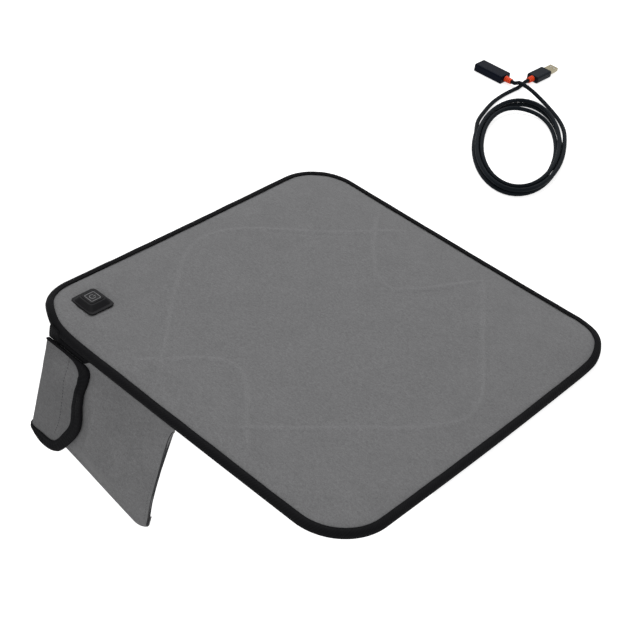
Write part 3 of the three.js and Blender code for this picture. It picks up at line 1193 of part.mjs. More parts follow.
function plugShell() {
  const shell = metalShell(PLUG_SHELL_WIDTH, PLUG_SHELL_HEIGHT, plugFaceZ + FIT_GAP, PLUG_SHELL_LENGTH);
  const windows = [-1, 1].map((side) => block(PLUG_WINDOW, 2 * PLUG_SHELL_HEIGHT, PLUG_WINDOW,
    side * PLUG_WINDOW_SPACING / 2, PLUG_SHELL_HEIGHT, plugFaceZ + PLUG_SHELL_LENGTH - PLUG_WINDOW_SETBACK));
  return cut(shell, ...windows);
}

addMesh(part, 'extension_coil', tube(coil, CORD_DIAMETER, COIL_SIDES), cordJacket);
addMesh(part, 'extension_tail_plug', tube(plugTail(), CORD_DIAMETER, TAIL_SIDES), cordJacket);
addMesh(part, 'extension_tail_socket', tube(socketTail(), CORD_DIAMETER, TAIL_SIDES), cordJacket);

const socket = connector(SOCKET_EXIT_X, SOCKET_EXIT_Y, SOCKET_HEIGHT, new THREE.Vector3(-1, 0, 0));
addMesh(socket, 'socket_strain_relief', strainRelief(), orangeRubber);
addMesh(socket, 'socket_housing', socketHousing(), navyPlastic);
addMesh(socket, 'socket_shell', metalShell(SOCKET_SHELL_WIDTH, SOCKET_SHELL_HEIGHT,
  socketFloorZ + FIT_GAP, SOCKET_MOUTH_DEPTH - FIT_GAP), steel);
addMesh(socket, 'socket_tongue', socketTongue(), whiteResin);

const plug = connector(PLUG_EXIT_X, PLUG_EXIT_Y, PLUG_BODY_HEIGHT, new THREE.Vector3(0, 1, 0));
addMesh(plug, 'plug_strain_relief', strainRelief(), orangeRubber);
addMesh(plug, 'plug_body', connectorBody(
  PLUG_BODY_WIDTH, PLUG_BODY_HEIGHT, PLUG_BODY_LENGTH, PLUG_BODY_RADIUS,
), slatePlastic);
addMesh(plug, 'plug_shell', plugShell(), steel);
addMesh(plug, 'plug_tongue', block(PLUG_SHELL_WIDTH - 2 * SHELL_WALL - 2 * FIT_GAP, PLUG_TONGUE_THICKNESS,
  PLUG_TONGUE_LENGTH, 0, -PLUG_TONGUE_OFFSET, plugFaceZ + FIT_GAP), whiteResin);

console.log(`heating wire: least gap to itself ${leastGap(wire, WIRE_DIAMETER).toFixed(2)} mm`);
console.log(`extension coil: least gap to itself ${leastGap(coil, CORD_DIAMETER).toFixed(2)} mm`);

export default part;
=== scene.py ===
from math import copysign, cos, exp, hypot, pi, radians, sin

import bmesh
import bpy
from mathutils import Matrix, Vector, noise
from mathutils.kdtree import KDTree


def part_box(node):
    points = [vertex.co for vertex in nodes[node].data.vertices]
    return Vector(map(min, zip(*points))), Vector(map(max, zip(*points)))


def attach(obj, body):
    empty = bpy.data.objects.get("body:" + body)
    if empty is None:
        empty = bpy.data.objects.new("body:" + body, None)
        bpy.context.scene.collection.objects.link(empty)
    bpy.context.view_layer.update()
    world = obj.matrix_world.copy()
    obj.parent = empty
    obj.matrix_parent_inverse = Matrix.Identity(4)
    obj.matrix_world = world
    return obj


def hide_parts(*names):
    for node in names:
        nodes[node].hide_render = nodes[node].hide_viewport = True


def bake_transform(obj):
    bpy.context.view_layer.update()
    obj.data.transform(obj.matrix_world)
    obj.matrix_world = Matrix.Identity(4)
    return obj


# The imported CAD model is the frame. Lengths here are millimetres, and meshes are made in metres
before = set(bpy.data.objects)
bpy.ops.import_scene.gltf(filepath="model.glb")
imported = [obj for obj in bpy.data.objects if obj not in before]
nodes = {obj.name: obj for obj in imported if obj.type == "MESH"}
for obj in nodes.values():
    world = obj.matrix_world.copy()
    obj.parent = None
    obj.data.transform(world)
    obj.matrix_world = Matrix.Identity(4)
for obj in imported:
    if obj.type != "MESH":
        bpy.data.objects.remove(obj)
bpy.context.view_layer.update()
MM = 0.001
UP = Vector((0, 0, 1))

# Camera at the photograph's angle
CAMERA_TARGET = Vector((-13.993, 5.253, 0))
CAMERA_DISTANCE = 1245.093
CAMERA_AZIMUTH = 37.684
CAMERA_ELEVATION = 38.446
CAMERA_ROLL = 8.338
CAMERA_LENS = 74.4625

# Cushion, as in the CAD source
HALF_SIDE = 200
CORNER_RADIUS = 53
TAPE_LAP = 6
CONTROL = (-156, -151)

# How the photographed outline leaves it: the far sides are drawn in, the near ones bow out, two corners curl up
DRAW_IN = 1
RIGHT_BOW = 1.8
FRONT_BOW = 0.7
LEFT_CORNER = Vector((-172, -191, 0))
RIGHT_CORNER = Vector((190, 178, 0))
CORNER_CURL = 5.6
LEFT_TUCK = 2.6
RIGHT_TUCK = 1.6
CURL_REACH = 25

# Extension lead, as in the CAD source
CORD_DIAMETER = 5
CORD_SINK = 0.3
COIL_CENTRE = Vector((-83.8, 420.5, 2.5))
COIL_TURN = radians(120.5)
COIL_HALF_LENGTH = 107.6
COIL_HALF_WIDTH = 51.6
COIL_LENGTH_PITCH = 7.6
COIL_WIDTH_PITCH = 5.7
COIL_SLACK = 10
COIL_SLACK_TURNS = 0.15
COIL_TURNS = 3.5
COIL_LAYER_GAP = 0.5
LOOP_STEPS = 48
SOCKET_EXIT = Vector((-180.5, 536.5, 5.25))
PLUG_EXIT = Vector((-170, 558, 4.5))
PLUG_TAIL = [
    (-168.5, 535.5, 2.5), (-168.6, 527.1, 2.5), (-168.5, 505.5, 2.5), (-165.5, 480.2, 2.5), (-158.2, 453.1, 2.5),
    (-148.2, 426.1, 2.5)]
SOCKET_TAIL = [
    (-64.1, 483.8, 7.6), (-85.2, 504.8, 5.6), (-108.8, 521.4, 3.6), (-131.3, 531.4, 4.8), (-150, 535.3, 7.8),
    (-161, 536.4, 8.8), (-169.4, 536.6, 8.7)]


def add_object(name, data):
    thing = bpy.data.objects.new(name, data)
    bpy.context.scene.collection.objects.link(thing)
    return thing


def make_camera():
    turn = (Matrix.Rotation(radians(CAMERA_AZIMUTH), 4, "Z")
            @ Matrix.Rotation(radians(90 - CAMERA_ELEVATION), 4, "X")
            @ Matrix.Rotation(radians(CAMERA_ROLL), 4, "Z"))
    camera = add_object("camera", bpy.data.cameras.new("camera"))
    camera.data.lens = CAMERA_LENS
    camera.data.clip_end = 20
    camera.matrix_world = (Matrix.Translation(CAMERA_TARGET * MM) @ turn
                           @ Matrix.Translation((0, 0, CAMERA_DISTANCE * MM)))
    bpy.context.scene.camera = camera


make_camera()
bpy.context.scene.view_settings.view_transform = "Standard"


# Small helpers
def smoothstep(value, low, high):
    share = min(1, max(0, (value - low) / (high - low)))
    return share * share * (3 - 2 * share)


def lerp(low, high, share):
    return low + (high - low) * share


def shares(count, first=0, last=1):
    return [lerp(first, last, k / count) for k in range(count + 1)]


def hump(distance, width):
    """1 at no distance, falling off softly over the width."""
    return exp(-(distance / width) ** 2)


def soft_noise(point, size, seed):
    """Smooth noise from -1 to 1 with features of about the given size."""
    return noise.noise(Vector(point) / size + Vector((seed * 7.3, seed * 3.1, seed * 5.7)))


def run_lengths(path):
    """How far along a path each of its points lies."""
    runs = [0]
    for before, after in zip(path, path[1:]):
        runs.append(runs[-1] + (after - before).length)
    return runs


# Materials
WHITE = (1, 1, 1, 1)
WAVE_BAND = 0.314  # The scale at which a wave texture's bands are one unit wide
# How much lighter the fleece is painted along the ridges' crests: a painted highlight
RIDGE_PAINTED_HIGHLIGHT = 0.11


def linear(colour):
    """A colour given as it shows on the screen, 0 to 255, as the shader takes it."""
    def channel(value):
        value /= 255
        return value / 12.92 if value <= 0.04045 else ((value + 0.055) / 1.055) ** 2.4
    return (*(channel(value) for value in colour), 1)


def socket_name(key):
    return key.replace("_", " ").title()


def new_material(name, colour, roughness, metallic=0, specular=0.5, **values):
    look = bpy.data.materials.new(name)
    look.use_nodes = True
    values.update(Base_Color=linear(colour), Roughness=roughness, Metallic=metallic)
    shader = look.node_tree.nodes["Principled BSDF"]
    shader.inputs["Specular IOR Level"].default_value = specular
    for key, value in values.items():
        shader.inputs[socket_name(key)].default_value = value
    return look


def connect(look, **outputs):
    shader = look.node_tree.nodes["Principled BSDF"]
    for key, output in outputs.items():
        look.node_tree.links.new(output, shader.inputs[socket_name(key)])


def add_node(owner, kind, inputs=(), **values):
    """A node of a material or world. Inputs pairs an input's name or number with an output or a value."""
    node = owner.node_tree.nodes.new(kind)
    for key, value in values.items():
        if hasattr(node, key):
            setattr(node, key, value)
        else:
            node.inputs[socket_name(key)].default_value = value
    for key, value in dict(inputs).items():
        if isinstance(value, bpy.types.NodeSocket):
            owner.node_tree.links.new(value, node.inputs[key])
        else:
            node.inputs[key].default_value = value
    return node


def computed(owner, operation, *operands):
    return add_node(owner, "ShaderNodeMath", enumerate(operands), operation=operation).outputs[0]


def texture_place(look, source="Object"):
    return add_node(look, "ShaderNodeTexCoord").outputs[source]


def noise_texture(look, place, scale, detail=4, roughness=0.6):
    return add_node(look, "ShaderNodeTexNoise", {"Vector": place}, Scale=scale, Detail=detail,
                    Roughness=roughness).outputs["Fac"]


def wave_texture(look, place, direction, scale, distortion, detail=1):
    return add_node(look, "ShaderNodeTexWave", {"Vector": place}, bands_direction=direction, Scale=scale,
                    Distortion=distortion, Detail=detail).outputs["Fac"]


def stretched(look, place, scale):
    return add_node(look, "ShaderNodeMapping", {"Vector": place}, Scale=scale).outputs["Vector"]


def between(look, share, low=0, high=1):
    """A noise texture's usual range drawn out between two values."""
    return add_node(look, "ShaderNodeMapRange", {"Value": share}, From_Min=0.3, From_Max=0.7,
                    To_Min=low, To_Max=high).outputs["Result"]


def mixed(look, share, first, second):
    """A mix of two colours, which are inputs 6 and 7 of its node."""
    return add_node(look, "ShaderNodeMix", {0: share, 6: first, 7: second}, data_type="RGBA").outputs[2]


def shades(look, share, colour, dark, light):
    """A screen colour from a darker to a lighter shade, by a share."""
    ends = [(*(min(1, c * factor) for c in linear(colour)[:3]), 1) for factor in (dark, light)]
    return mixed(look, share, *ends)


def brightened(look, colour, value):
    return add_node(look, "ShaderNodeHueSaturation", {"Color": colour, "Value": value}).outputs["Color"]


def add_bump(look, height, strength, distance, **normal):
    return add_node(look, "ShaderNodeBump", {"Height": height, **normal}, Strength=strength,
                    Distance=distance * MM).outputs["Normal"]


def fleece(name, colour, mottle_and_painted_shading=0.035, mottle_and_painted_shading_scale=45):
    """Brushed grey fleece: short fibres of several greys, with soft mottles, and a painted highlight along each
    ridge's crest.
    """
    look = new_material(name, colour, 0.95, specular=0.1, Sheen_Weight=0.06, Sheen_Roughness=0.6)
    place = texture_place(look)
    fibres = noise_texture(look, place, 780, 5, 0.75)
    long_fibres = noise_texture(look, stretched(look, place, (260, 520, 400)), 1, 3, 0.7)
    # Mottles: the felt's own uneven tone. At the pocket's stronger setting they are painted shading as well
    mottle_and_painted_shading_noise = noise_texture(look, place, mottle_and_painted_shading_scale, 3)
    fine = shades(look, between(look, fibres), colour, 0.62, 1.38)
    threads = shades(look, between(look, long_fibres), colour, 0.74, 1.26)
    ridge = add_node(look, "ShaderNodeAttribute", attribute_name="ridge").outputs["Fac"]
    # Painted highlight: the ridge attribute lightens the fleece along each ridge's crest
    brightness = computed(look, "MULTIPLY_ADD", ridge, RIDGE_PAINTED_HIGHLIGHT,
                          between(look, mottle_and_painted_shading_noise, 1 - mottle_and_painted_shading, 1 + mottle_and_painted_shading))
    nap = noise_texture(look, place, 1300, 3, 0.8)
    soft = add_bump(look, long_fibres, 0.35, 0.5)
    connect(look, Base_Color=brightened(look, mixed(look, 0.4, fine, threads), brightness),
            Normal=add_bump(look, nap, 0.4, 0.25, Normal=soft))
    return look


def woven_tape(name, colour, pitch=0.9):
    """Ribbed woven tape. Its UVs run along and across it in millimetres."""
    look = new_material(name, colour, 0.85, specular=0.08)
    place = texture_place(look, "UV")
    ribs = wave_texture(look, place, "X", WAVE_BAND / pitch, 0.4)
    weft = wave_texture(look, place, "DIAGONAL", WAVE_BAND / (1.6 * pitch), 0.3)
    weave = computed(look, "MULTIPLY", ribs, weft)
    wear = noise_texture(look, texture_place(look), 120, 4)
    threads = shades(look, weave, colour, 0.7, 1.5)
    connect(look, Base_Color=brightened(look, threads, between(look, wear, 0.85, 1.25)),
            Normal=add_bump(look, weave, 0.6, 0.22), Roughness=between(look, wear, 0.72, 0.88))
    return look


def plain_cloth(name, colour, pitch=0.7):
    """Plain woven lining cloth."""
    look = new_material(name, colour, 0.85)
    place = texture_place(look)
    waves = [wave_texture(look, place, direction, WAVE_BAND / (pitch * MM), 0.6, 2) for direction in ("X", "Y")]
    weave = computed(look, "MULTIPLY", *waves)
    slubs = noise_texture(look, place, 220, 4)
    threads = shades(look, weave, colour, 0.8, 1.25)
    connect(look, Base_Color=brightened(look, threads, between(look, slubs, 0.9, 1.1)),
            Normal=add_bump(look, weave, 0.5, 0.15))
    return look


def moulded(name, colour, roughness, grain=0.06, grain_size=0.5, variation=0.08, specular=0.3):
    """Moulded plastic or rubber with a fine grain and slightly uneven gloss."""
    look = new_material(name, colour, roughness, specular=specular)
    place = texture_place(look)
    grains = noise_texture(look, place, 1 / (grain_size * MM), 2)
    cloudy = noise_texture(look, place, 90, 4)
    colours = shades(look, between(look, cloudy), colour, 1 - variation, 1 + variation)
    connect(look, Base_Color=colours, Normal=add_bump(look, grains, 0.5, grain),
            Roughness=between(look, cloudy, roughness * 0.88, min(1, roughness * 1.12)))
    return look


def metal(name, colour, roughness, scale):
    """Plated metal with fine drawn lines along one direction."""
    look = new_material(name, colour, roughness, 1)
    lines = noise_texture(look, stretched(look, texture_place(look), scale), 1, 3)
    tints = shades(look, between(look, lines), colour, 0.88, 1.08)
    connect(look, Base_Color=tints, Roughness=between(look, lines, roughness * 0.8, roughness * 1.3),
            Normal=add_bump(look, lines, 0.15, 0.03))
    return look


def dress(names, material):
    """Gives the CAD nodes of some names, which stay, their material."""
    for name in names.split():
        slots = nodes[name].data.materials
        slots.clear()
        slots.append(material)


felt = fleece("felt", (119, 119, 120))
# A darker copy of the felt, as painted shade on the flap, with stronger and larger mottles
flap_felt_painted_shade = fleece("flap_felt_painted_shade", (112, 112, 113), 0.07, 26)
# Stronger, larger mottles on the pocket's felt are painted light and shade for the soft shading of its folds and
# hollows
pocket_felt_painted_shading = fleece("pocket_felt_painted_shading", (122, 122, 123), 0.09, 22)
black_tape = woven_tape("black_tape", (17, 17, 19))
thread = woven_tape("thread", (26, 26, 28), 0.5)
grey_tape = woven_tape("grey_tape", (58, 58, 60))
grey_thread = woven_tape("grey_thread", (78, 78, 80), 0.5)
lining = plain_cloth("lining", (58, 58, 61))
hook_loop = moulded("hook_loop", (24, 24, 26), 0.9, 0.5, 0.8, 0.3)
sign_paint = moulded("sign_paint", (118, 118, 120), 0.6, 0.02)
cord_jacket = moulded("cord_jacket", (15, 20, 25), 0.6, 0.05, 0.6, 0.12, 0.06)

dress("sensor_lead supply_lead", cord_jacket)
dress("heating_wire element_lead_1 element_lead_2", moulded("red_silicone", (158, 48, 38), 0.55, 0.03))
dress("thermal_cutout socket_tongue plug_tongue", moulded("white_resin", (228, 228, 225), 0.45, 0.02))
dress("wire_splice temperature_sensor switch_plunger tact_switch control_chip clamp_plate",
      moulded("black_resin", (22, 22, 24), 0.45, 0.03))
dress("lead_gland control_housing push_button", moulded("rubber", (24, 24, 26), 0.6, 0.04, specular=0.12))
dress("light_window", moulded("tinted", (22, 22, 24), 0.5, 0.02, specular=0.12))
dress("circuit_board", moulded("board_green", (32, 92, 54), 0.45, 0.02, 0.4, 0.2))
dress("status_led", moulded("clear_resin", (225, 225, 218), 0.25, 0.01))
dress("clamp_screw_1 clamp_screw_2 clamp_screw_3 clamp_screw_4",
      metal("screw_metal", (180, 180, 178), 0.35, (900, 900, 200)))
dress("socket_strain_relief plug_strain_relief", moulded("orange_rubber", (235, 74, 26), 0.5, 0.03))
dress("socket_housing", moulded("navy_plastic", (3, 8, 22), 0.35, 0.01, 0.4, 0.15, 0.05))
dress("plug_body", moulded("slate_plastic", (20, 25, 31), 0.5, 0.03, specular=0.07))
dress("socket_shell plug_shell", metal("shell_metal", (148, 140, 117), 0.38, (120, 2500, 900)))

# Meshes
# A stitch's rings, as (place along it, size, how far it sinks)
STITCH_RINGS = [(-0.5, 0.35, 1), (-0.32, 0.9, 0.35), (0, 1, 0), (0.32, 0.9, 0.35), (0.5, 0.35, 1)]
STITCH_SIDES = 6


def new_piece(name, points, faces, material, body, uvs=()):
    """A smooth-shaded closed piece from points in millimetres, with its faces outward and its place in the frame."""
    mesh = bpy.data.meshes.new(name)
    mesh.from_pydata([point * MM for point in points], [], faces)
    if uvs:
        layer = mesh.uv_layers.new(name="run")
        for loop, uv in zip(layer.data, uvs):
            loop.uv = uv
    mesh.materials.append(material)
    mesh.shade_smooth()
    mesh.validate()
    volume = sum(mesh.vertices[f.vertices[0]].co.dot(
        mesh.vertices[f.vertices[1]].co.cross(mesh.vertices[f.vertices[2]].co)) for f in mesh.polygons)
    if volume < 0:
        mesh.flip_normals()
    piece = add_object(name, mesh)
    if body:
        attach(piece, body)
    return piece


def tube_faces(first, rings, sides, loop=False):
    """Faces of a tube of rings whose points start at a number, closed by its two ends or into a loop."""
    faces = []
    for r in range(rings if loop else rings - 1):
        here, there = first + r * sides, first + (r + 1) % rings * sides
        for k in range(sides):
            j = (k + 1) % sides
            faces.append((here + k, here + j, there + j, there + k))
    if not loop:
        last = first + (rings - 1) * sides
        faces.append(tuple(range(first + sides - 1, first - 1, -1)))
        faces.append(tuple(range(last, last + sides)))
    return faces


def loft_piece(name, rings, material, body, loop=False):
    """A closed piece through rings of equal count. UVs run along and round it in millimetres."""
    count = len(rings[0])
    runs = run_lengths([ring[0] for ring in rings + rings[:1]])
    girth = run_lengths(rings[0] + rings[0][:1])
    uvs = []
    for r in range(len(rings) if loop else len(rings) - 1):
        for k in range(count):
            uvs += [(runs[r + a], girth[k + b]) for a, b in ((0, 0), (0, 1), (1, 1), (1, 0))]
    if not loop:
        uvs += [(0, girth[k]) for k in reversed(range(count))] + [(runs[-2], girth[k]) for k in range(count)]
    points = [point for ring in rings for point in ring]
    return new_piece(name, points, tube_faces(0, len(rings), count, loop), material, body, uvs)


def smooth_route(points, step):
    """Points about step apart on a centripetal Catmull-Rom curve through the given ones."""
    points = [Vector(point) for point in points]
    ends = [2 * points[0] - points[1], *points, 2 * points[-1] - points[-2]]
    route = []
    for before, here, there, after in zip(ends, ends[1:], ends[2:], ends[3:]):
        d0, d1, d2 = (max((b - a).length, 1e-6) ** 0.5 for a, b in ((before, here), (here, there), (there, after)))
        leave = ((here - before) / d0 - (there - before) / (d0 + d1) + (there - here) / d1) * d1
        arrive = ((there - here) / d1 - (after - here) / (d1 + d2) + (after - there) / d2) * d1
        count = max(1, round((there - here).length / step))
        for k in range(count):
            t = k / count
            route.append(here + leave * t + (3 * (there - here) - 2 * leave - arrive) * t ** 2
                         + (2 * (here - there) + leave + arrive) * t ** 3)
    route.append(points[-1])
    return route


def stitch_row(name, path, body, material, length=2.6, pitch=3.4, width=0.55, sink=0.25):
    """A row of separate stitches along a path of (place, outward direction)."""
    runs = run_lengths([place for place, _ in path])
    points, faces = [], []
    at = 0
    for number in range(int(runs[-1] / pitch)):
        centre_run = (number + 0.5) * pitch
        while runs[at + 1] < centre_run:
            at += 1
        share = (centre_run - runs[at]) / (runs[at + 1] - runs[at])
        centre = path[at][0].lerp(path[at + 1][0], share)
        out = path[at][1].lerp(path[at + 1][1], share).normalized()
        along = (path[at + 1][0] - path[at][0]).normalized()
        across = along.cross(out).normalized()
        faces += tube_faces(len(points), len(STITCH_RINGS), STITCH_SIDES)
        for run, size, drop in STITCH_RINGS:
            middle = centre + along * run * length - out * drop * sink
            for side in range(STITCH_SIDES):
                angle = side / STITCH_SIDES * 2 * pi
                points.append(middle + (across * cos(angle) + out * sin(angle)) * size * width / 2)
    new_piece(name, points, faces, material, body)


# Extension lead
def coil_route(long):
    short = Vector((long.y, -long.x, 0))
    half = COIL_TURNS / 2
    points = []
    for turns in shares(round(COIL_TURNS * LOOP_STEPS), 0, COIL_TURNS):
        angle = 1.5 * pi - 2 * pi * turns
        inward = half - abs(turns - half)
        slack = COIL_SLACK * hump(turns - half, COIL_SLACK_TURNS)
        climb = smoothstep(turns, half - 0.25, half + 0.25)
        points.append(COIL_CENTRE
                      + long * (COIL_HALF_LENGTH - inward * COIL_LENGTH_PITCH - slack) * cos(angle)
                      + short * (COIL_HALF_WIDTH - inward * COIL_WIDTH_PITCH) * sin(angle)
                      + UP * climb * (CORD_DIAMETER + COIL_LAYER_GAP))
    return points


def extension_lead():
    long = Vector((cos(COIL_TURN), sin(COIL_TURN), 0))
    coil = coil_route(long)
    straight = long * CORD_DIAMETER
    plug_end = PLUG_EXIT - Vector((0, CORD_SINK, 0))
    socket_end = SOCKET_EXIT + Vector((CORD_SINK, 0, 0))
    plug_tail = smooth_route([plug_end, plug_end - Vector((0, CORD_DIAMETER, 0)), *PLUG_TAIL,
                              coil[0] + 2 * straight, coil[0] + straight], 5)
    socket_tail = smooth_route([coil[-1] + straight, coil[-1] + 2 * straight, *SOCKET_TAIL,
                                socket_end + Vector((CORD_DIAMETER, 0, 0)), socket_end], 5)
    route = plug_tail + coil + socket_tail
    route.reverse()
    curve = bpy.data.curves.new("extension_cord", "CURVE")
    curve.dimensions = "3D"
    curve.bevel_depth = CORD_DIAMETER / 2 * MM
    curve.bevel_resolution = 4
    curve.use_fill_caps = True
    spline = curve.splines.new("POLY")
    spline.points.add(len(route) - 1)
    for point, place in zip(spline.points, route):
        point.co = (*(place * MM), 1)
    curve.materials.append(cord_jacket)
    cord = add_object("extension_cord", curve)
    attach(cord, "cushion")
    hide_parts("extension_coil", "extension_tail_plug", "extension_tail_socket")
    length = run_lengths(route)[-1] * MM


extension_lead()

# Outline of the cushion. Further in, its rings grow rounder
INNER_ROUND_SHARE = 0.5
INNER_ROUND_RUN = 60


def drawn_in(x, y, z):
    """The far sides are pulled in a little between the corners and the near ones bow out, as photographed.

    The corners at the left and at the right curl up and in at their tips.
    """
    def sag(along):
        return (1 - min(1, (along / HALF_SIDE) ** 2)) ** 2
    pull_x = (-RIGHT_BOW if x > 0 else DRAW_IN) * (x / HALF_SIDE) * sag(y)
    pull_y = (-FRONT_BOW if y < 0 else DRAW_IN) * (y / HALF_SIDE) * sag(x)
    place = Vector((x - pull_x, y - pull_y, z))
    for corner, tuck in ((LEFT_CORNER, LEFT_TUCK), (RIGHT_CORNER, RIGHT_TUCK)):
        share = hump(hypot(x - corner.x, y - corner.y), CURL_REACH)
        place += UP * CORNER_CURL * share - corner.normalized() * tuck * share
    return place


def on_side(inset, share):
    """A place on the +X side of the outline at an inset, with share from -1 to 1 between the corners' middles."""
    half = HALF_SIDE - inset
    radius = lerp(CORNER_RADIUS - inset, INNER_ROUND_SHARE * half, smoothstep(inset, TAPE_LAP, INNER_ROUND_RUN))
    straight = half - radius
    along = share * (straight + radius * pi / 4)
    if abs(along) <= straight:
        return half, along
    angle = (abs(along) - straight) / max(radius, 1e-6)
    return straight + radius * cos(angle), copysign(straight + radius * sin(angle), along)


def turned(x, y, side):
    """The same place on another side, each a quarter turn on."""
    return ((x, y), (-y, x), (-x, -y), (y, -x))[side]


def on_outline(inset, side, share, z):
    return drawn_in(*turned(*on_side(inset, share), side), z)


# Seat pad: the felt cover, blown up a little by cloth simulation over its wadding
COVER_MARGIN_TOP = 7.2
EDGE_ROLL_RISE = 3.3
EDGE_ROLL_RUN = 4.5
CROWN_RISE = 1.1
EDGE_INSETS = [1.6, 6.2, 7.6, 9.6, 12.2, 15.6, 19.6]
SKIRT = [(1.6, 4), (9, 4), (17, 1.35)]
INNER_RINGS = 42
PUCKER = 0.7
PUCKER_RUN = 14
PAD_START_DROP = 0.7
PAD_CAP = 1.4
PAD_FRAMES = 20
PAD_CLOTH = {
    "quality": 4, "mass": 0.3, "use_pressure": True, "uniform_pressure_force": 4, "vertex_group_mass": "held",
    "tension_stiffness": 25, "compression_stiffness": 25, "shear_stiffness": 10, "bending_stiffness": 4}
PAD_UNEVENNESS = 0.18
CONTROL_CLEAR = 13
CONTROL_HOLLOW = 8
CONTROL_HOLLOW_DEPTH = 7

# Ridges that the heating wire presses into the cover: they follow its run in the CAD source
WIRE_RIDGE_RISE = 1.2
WIRE_RIDGE_SPREAD = 2.3
WIRE_RIDGE_END = 0.06
LEFT_ARM = [
    (-34, -178), (-51, -161), (-77, -132), (-106, -101), (-129, -72), (-154, -40), (-168, -11), (-166, 18),
    (-147, 49), (-125, 74), (-102, 97), (-84, 120), (-59, 155), (-44, 176)]
RIGHT_ARM = [
    (32, -178), (52, -160), (86, -122), (120, -81), (151, -42), (166, -8), (160, 24), (140, 54), (120, 81), (99, 110),
    (79, 136), (57, 165), (49, 176)]
FRONT_ARCH = [
    (-75, -178), (-68, -170), (-54, -152), (-34, -126), (-21, -115), (-7, -112), (12, -119), (35, -140), (57, -162),
    (73, -178)]
BACK_ARCH = [
    (-89, 176), (-80, 162), (-67, 144), (-50, 122), (-31, 102), (-13, 87), (7, 84), (20, 99), (31, 117), (40, 135),
    (54, 162), (63, 176)]


def cover_top(inset):
    roll = 1 - exp(-(inset - TAPE_LAP) / EDGE_ROLL_RUN)
    flatness = 1 - (inset - TAPE_LAP) / (HALF_SIDE - TAPE_LAP)
    return COVER_MARGIN_TOP + EDGE_ROLL_RISE * roll + CROWN_RISE * (1 - flatness ** 2)


def from_control(place):
    return max(abs(place.x - CONTROL[0]), abs(place.y - CONTROL[1]))


def grid_side(i, j):
    """The side of the outline that a place in the pad's grid belongs to, and how many steps along it lies."""
    if abs(i) >= abs(j):
        return (0, j) if i > 0 else (2, -j)
    return (1, -i) if j > 0 else (3, i)


def pad_grid():
    """A square grid of rings on the cushion's outline, carried round its edge by three rings and open below."""
    insets = EDGE_INSETS + shares(INNER_RINGS, EDGE_INSETS[-1], HALF_SIDE)[1:]
    levels = len(insets) - 1
    points, index, free = [], {}, []
    for i in range(-levels, levels + 1):
        for j in range(-levels, levels + 1):
            level = max(abs(i), abs(j))
            inset = insets[levels - level]
            side, along = grid_side(i, j)
            flat = on_outline(inset, side, along / level, 0) if level else Vector((0, 0, 0))
            height = flat.z + (COVER_MARGIN_TOP - 0.2 if inset < TAPE_LAP else cover_top(inset) - PAD_START_DROP)
            if from_control(flat) < CONTROL_HOLLOW:
                height -= CONTROL_HOLLOW_DEPTH
            near_edge = exp(-max(0, inset - TAPE_LAP) / PUCKER_RUN) * smoothstep(inset, TAPE_LAP, TAPE_LAP + 4)
            height += near_edge * PUCKER * soft_noise((flat.x, flat.y, 0), 11, 1)
            index[i, j] = len(points)
            if level < levels - 1 and from_control(flat) > CONTROL_CLEAR:
                free.append(len(points))
            points.append(Vector((flat.x, flat.y, height)))
    steps = range(-levels, levels)
    faces = [(index[i, j], index[i + 1, j], index[i + 1, j + 1], index[i, j + 1]) for i in steps for j in steps]
    rim = [turned(levels, j, side) for side in range(4) for j in steps]
    previous = [index[key] for key in rim]
    for inset, z in SKIRT:
        ring = range(len(points), len(points) + len(rim))
        for key in rim:
            side, along = grid_side(*key)
            points.append(on_outline(inset, side, along / levels, z))
        for k in range(len(rim)):
            j = (k + 1) % len(rim)
            faces.append((previous[k], ring[k], ring[j], previous[j]))
        previous = ring
    return points, faces, free


def swell(piece, free):
    """Cloth simulation under pressure without gravity. No point moves further than the cap."""
    scene = bpy.context.scene
    loose = set(free)
    held = [v.index for v in piece.data.vertices if v.index not in loose]
    group = piece.vertex_groups.new(name="held")
    group.add(held, 1, "REPLACE")
    cloth = piece.modifiers.new("swell", "CLOTH")
    for key, value in PAD_CLOTH.items():
        setattr(cloth.settings, key, value)
    cloth.settings.effector_weights.gravity = 0
    cloth.point_cache.frame_start = 1
    cloth.point_cache.frame_end = PAD_FRAMES
    for number in range(1, PAD_FRAMES + 1):
        scene.frame_set(number)
    evaluated = piece.evaluated_get(bpy.context.evaluated_depsgraph_get())
    moved = [v.co.copy() for v in evaluated.data.vertices]
    piece.modifiers.remove(cloth)
    piece.vertex_groups.remove(group)
    cap = PAD_CAP * MM
    for vertex, place in zip(piece.data.vertices, moved):
        move = place - vertex.co
        if move.length > cap:
            move *= cap / move.length
        vertex.co += move
    scene.frame_set(1)


def subdivide(piece):
    modifier = piece.modifiers.new("finer", "SUBSURF")
    modifier.levels = modifier.render_levels = 1
    graph = bpy.context.evaluated_depsgraph_get()
    finer = bpy.data.meshes.new_from_object(piece.evaluated_get(graph))
    piece.modifiers.clear()
    piece.data = finer


def close_below(piece):
    """Closes the open underside and turns every face outward."""
    mesh = bmesh.new()
    mesh.from_mesh(piece.data)
    bmesh.ops.holes_fill(mesh, edges=[edge for edge in mesh.edges if edge.is_boundary], sides=0)
    bmesh.ops.recalc_face_normals(mesh, faces=mesh.faces)
    mesh.to_mesh(piece.data)
    mesh.free()


def wire_ridges():
    """A tree of places along the ridges, and the share of the full rise at each."""
    places, rises = [], []
    for run in (LEFT_ARM, RIGHT_ARM, FRONT_ARCH, BACK_ARCH):
        route = smooth_route([(x, y, 0) for x, y in run], 1.5)
        for point, share in zip(route, shares(len(route) - 1)):
            places.append(drawn_in(point.x, point.y, 0).to_2d().to_3d())
            rises.append(smoothstep(min(share, 1 - share), 0, WIRE_RIDGE_END))
    tree = KDTree(len(places))
    for k, place in enumerate(places):
        tree.insert(place, k)
    tree.balance()
    return tree, rises


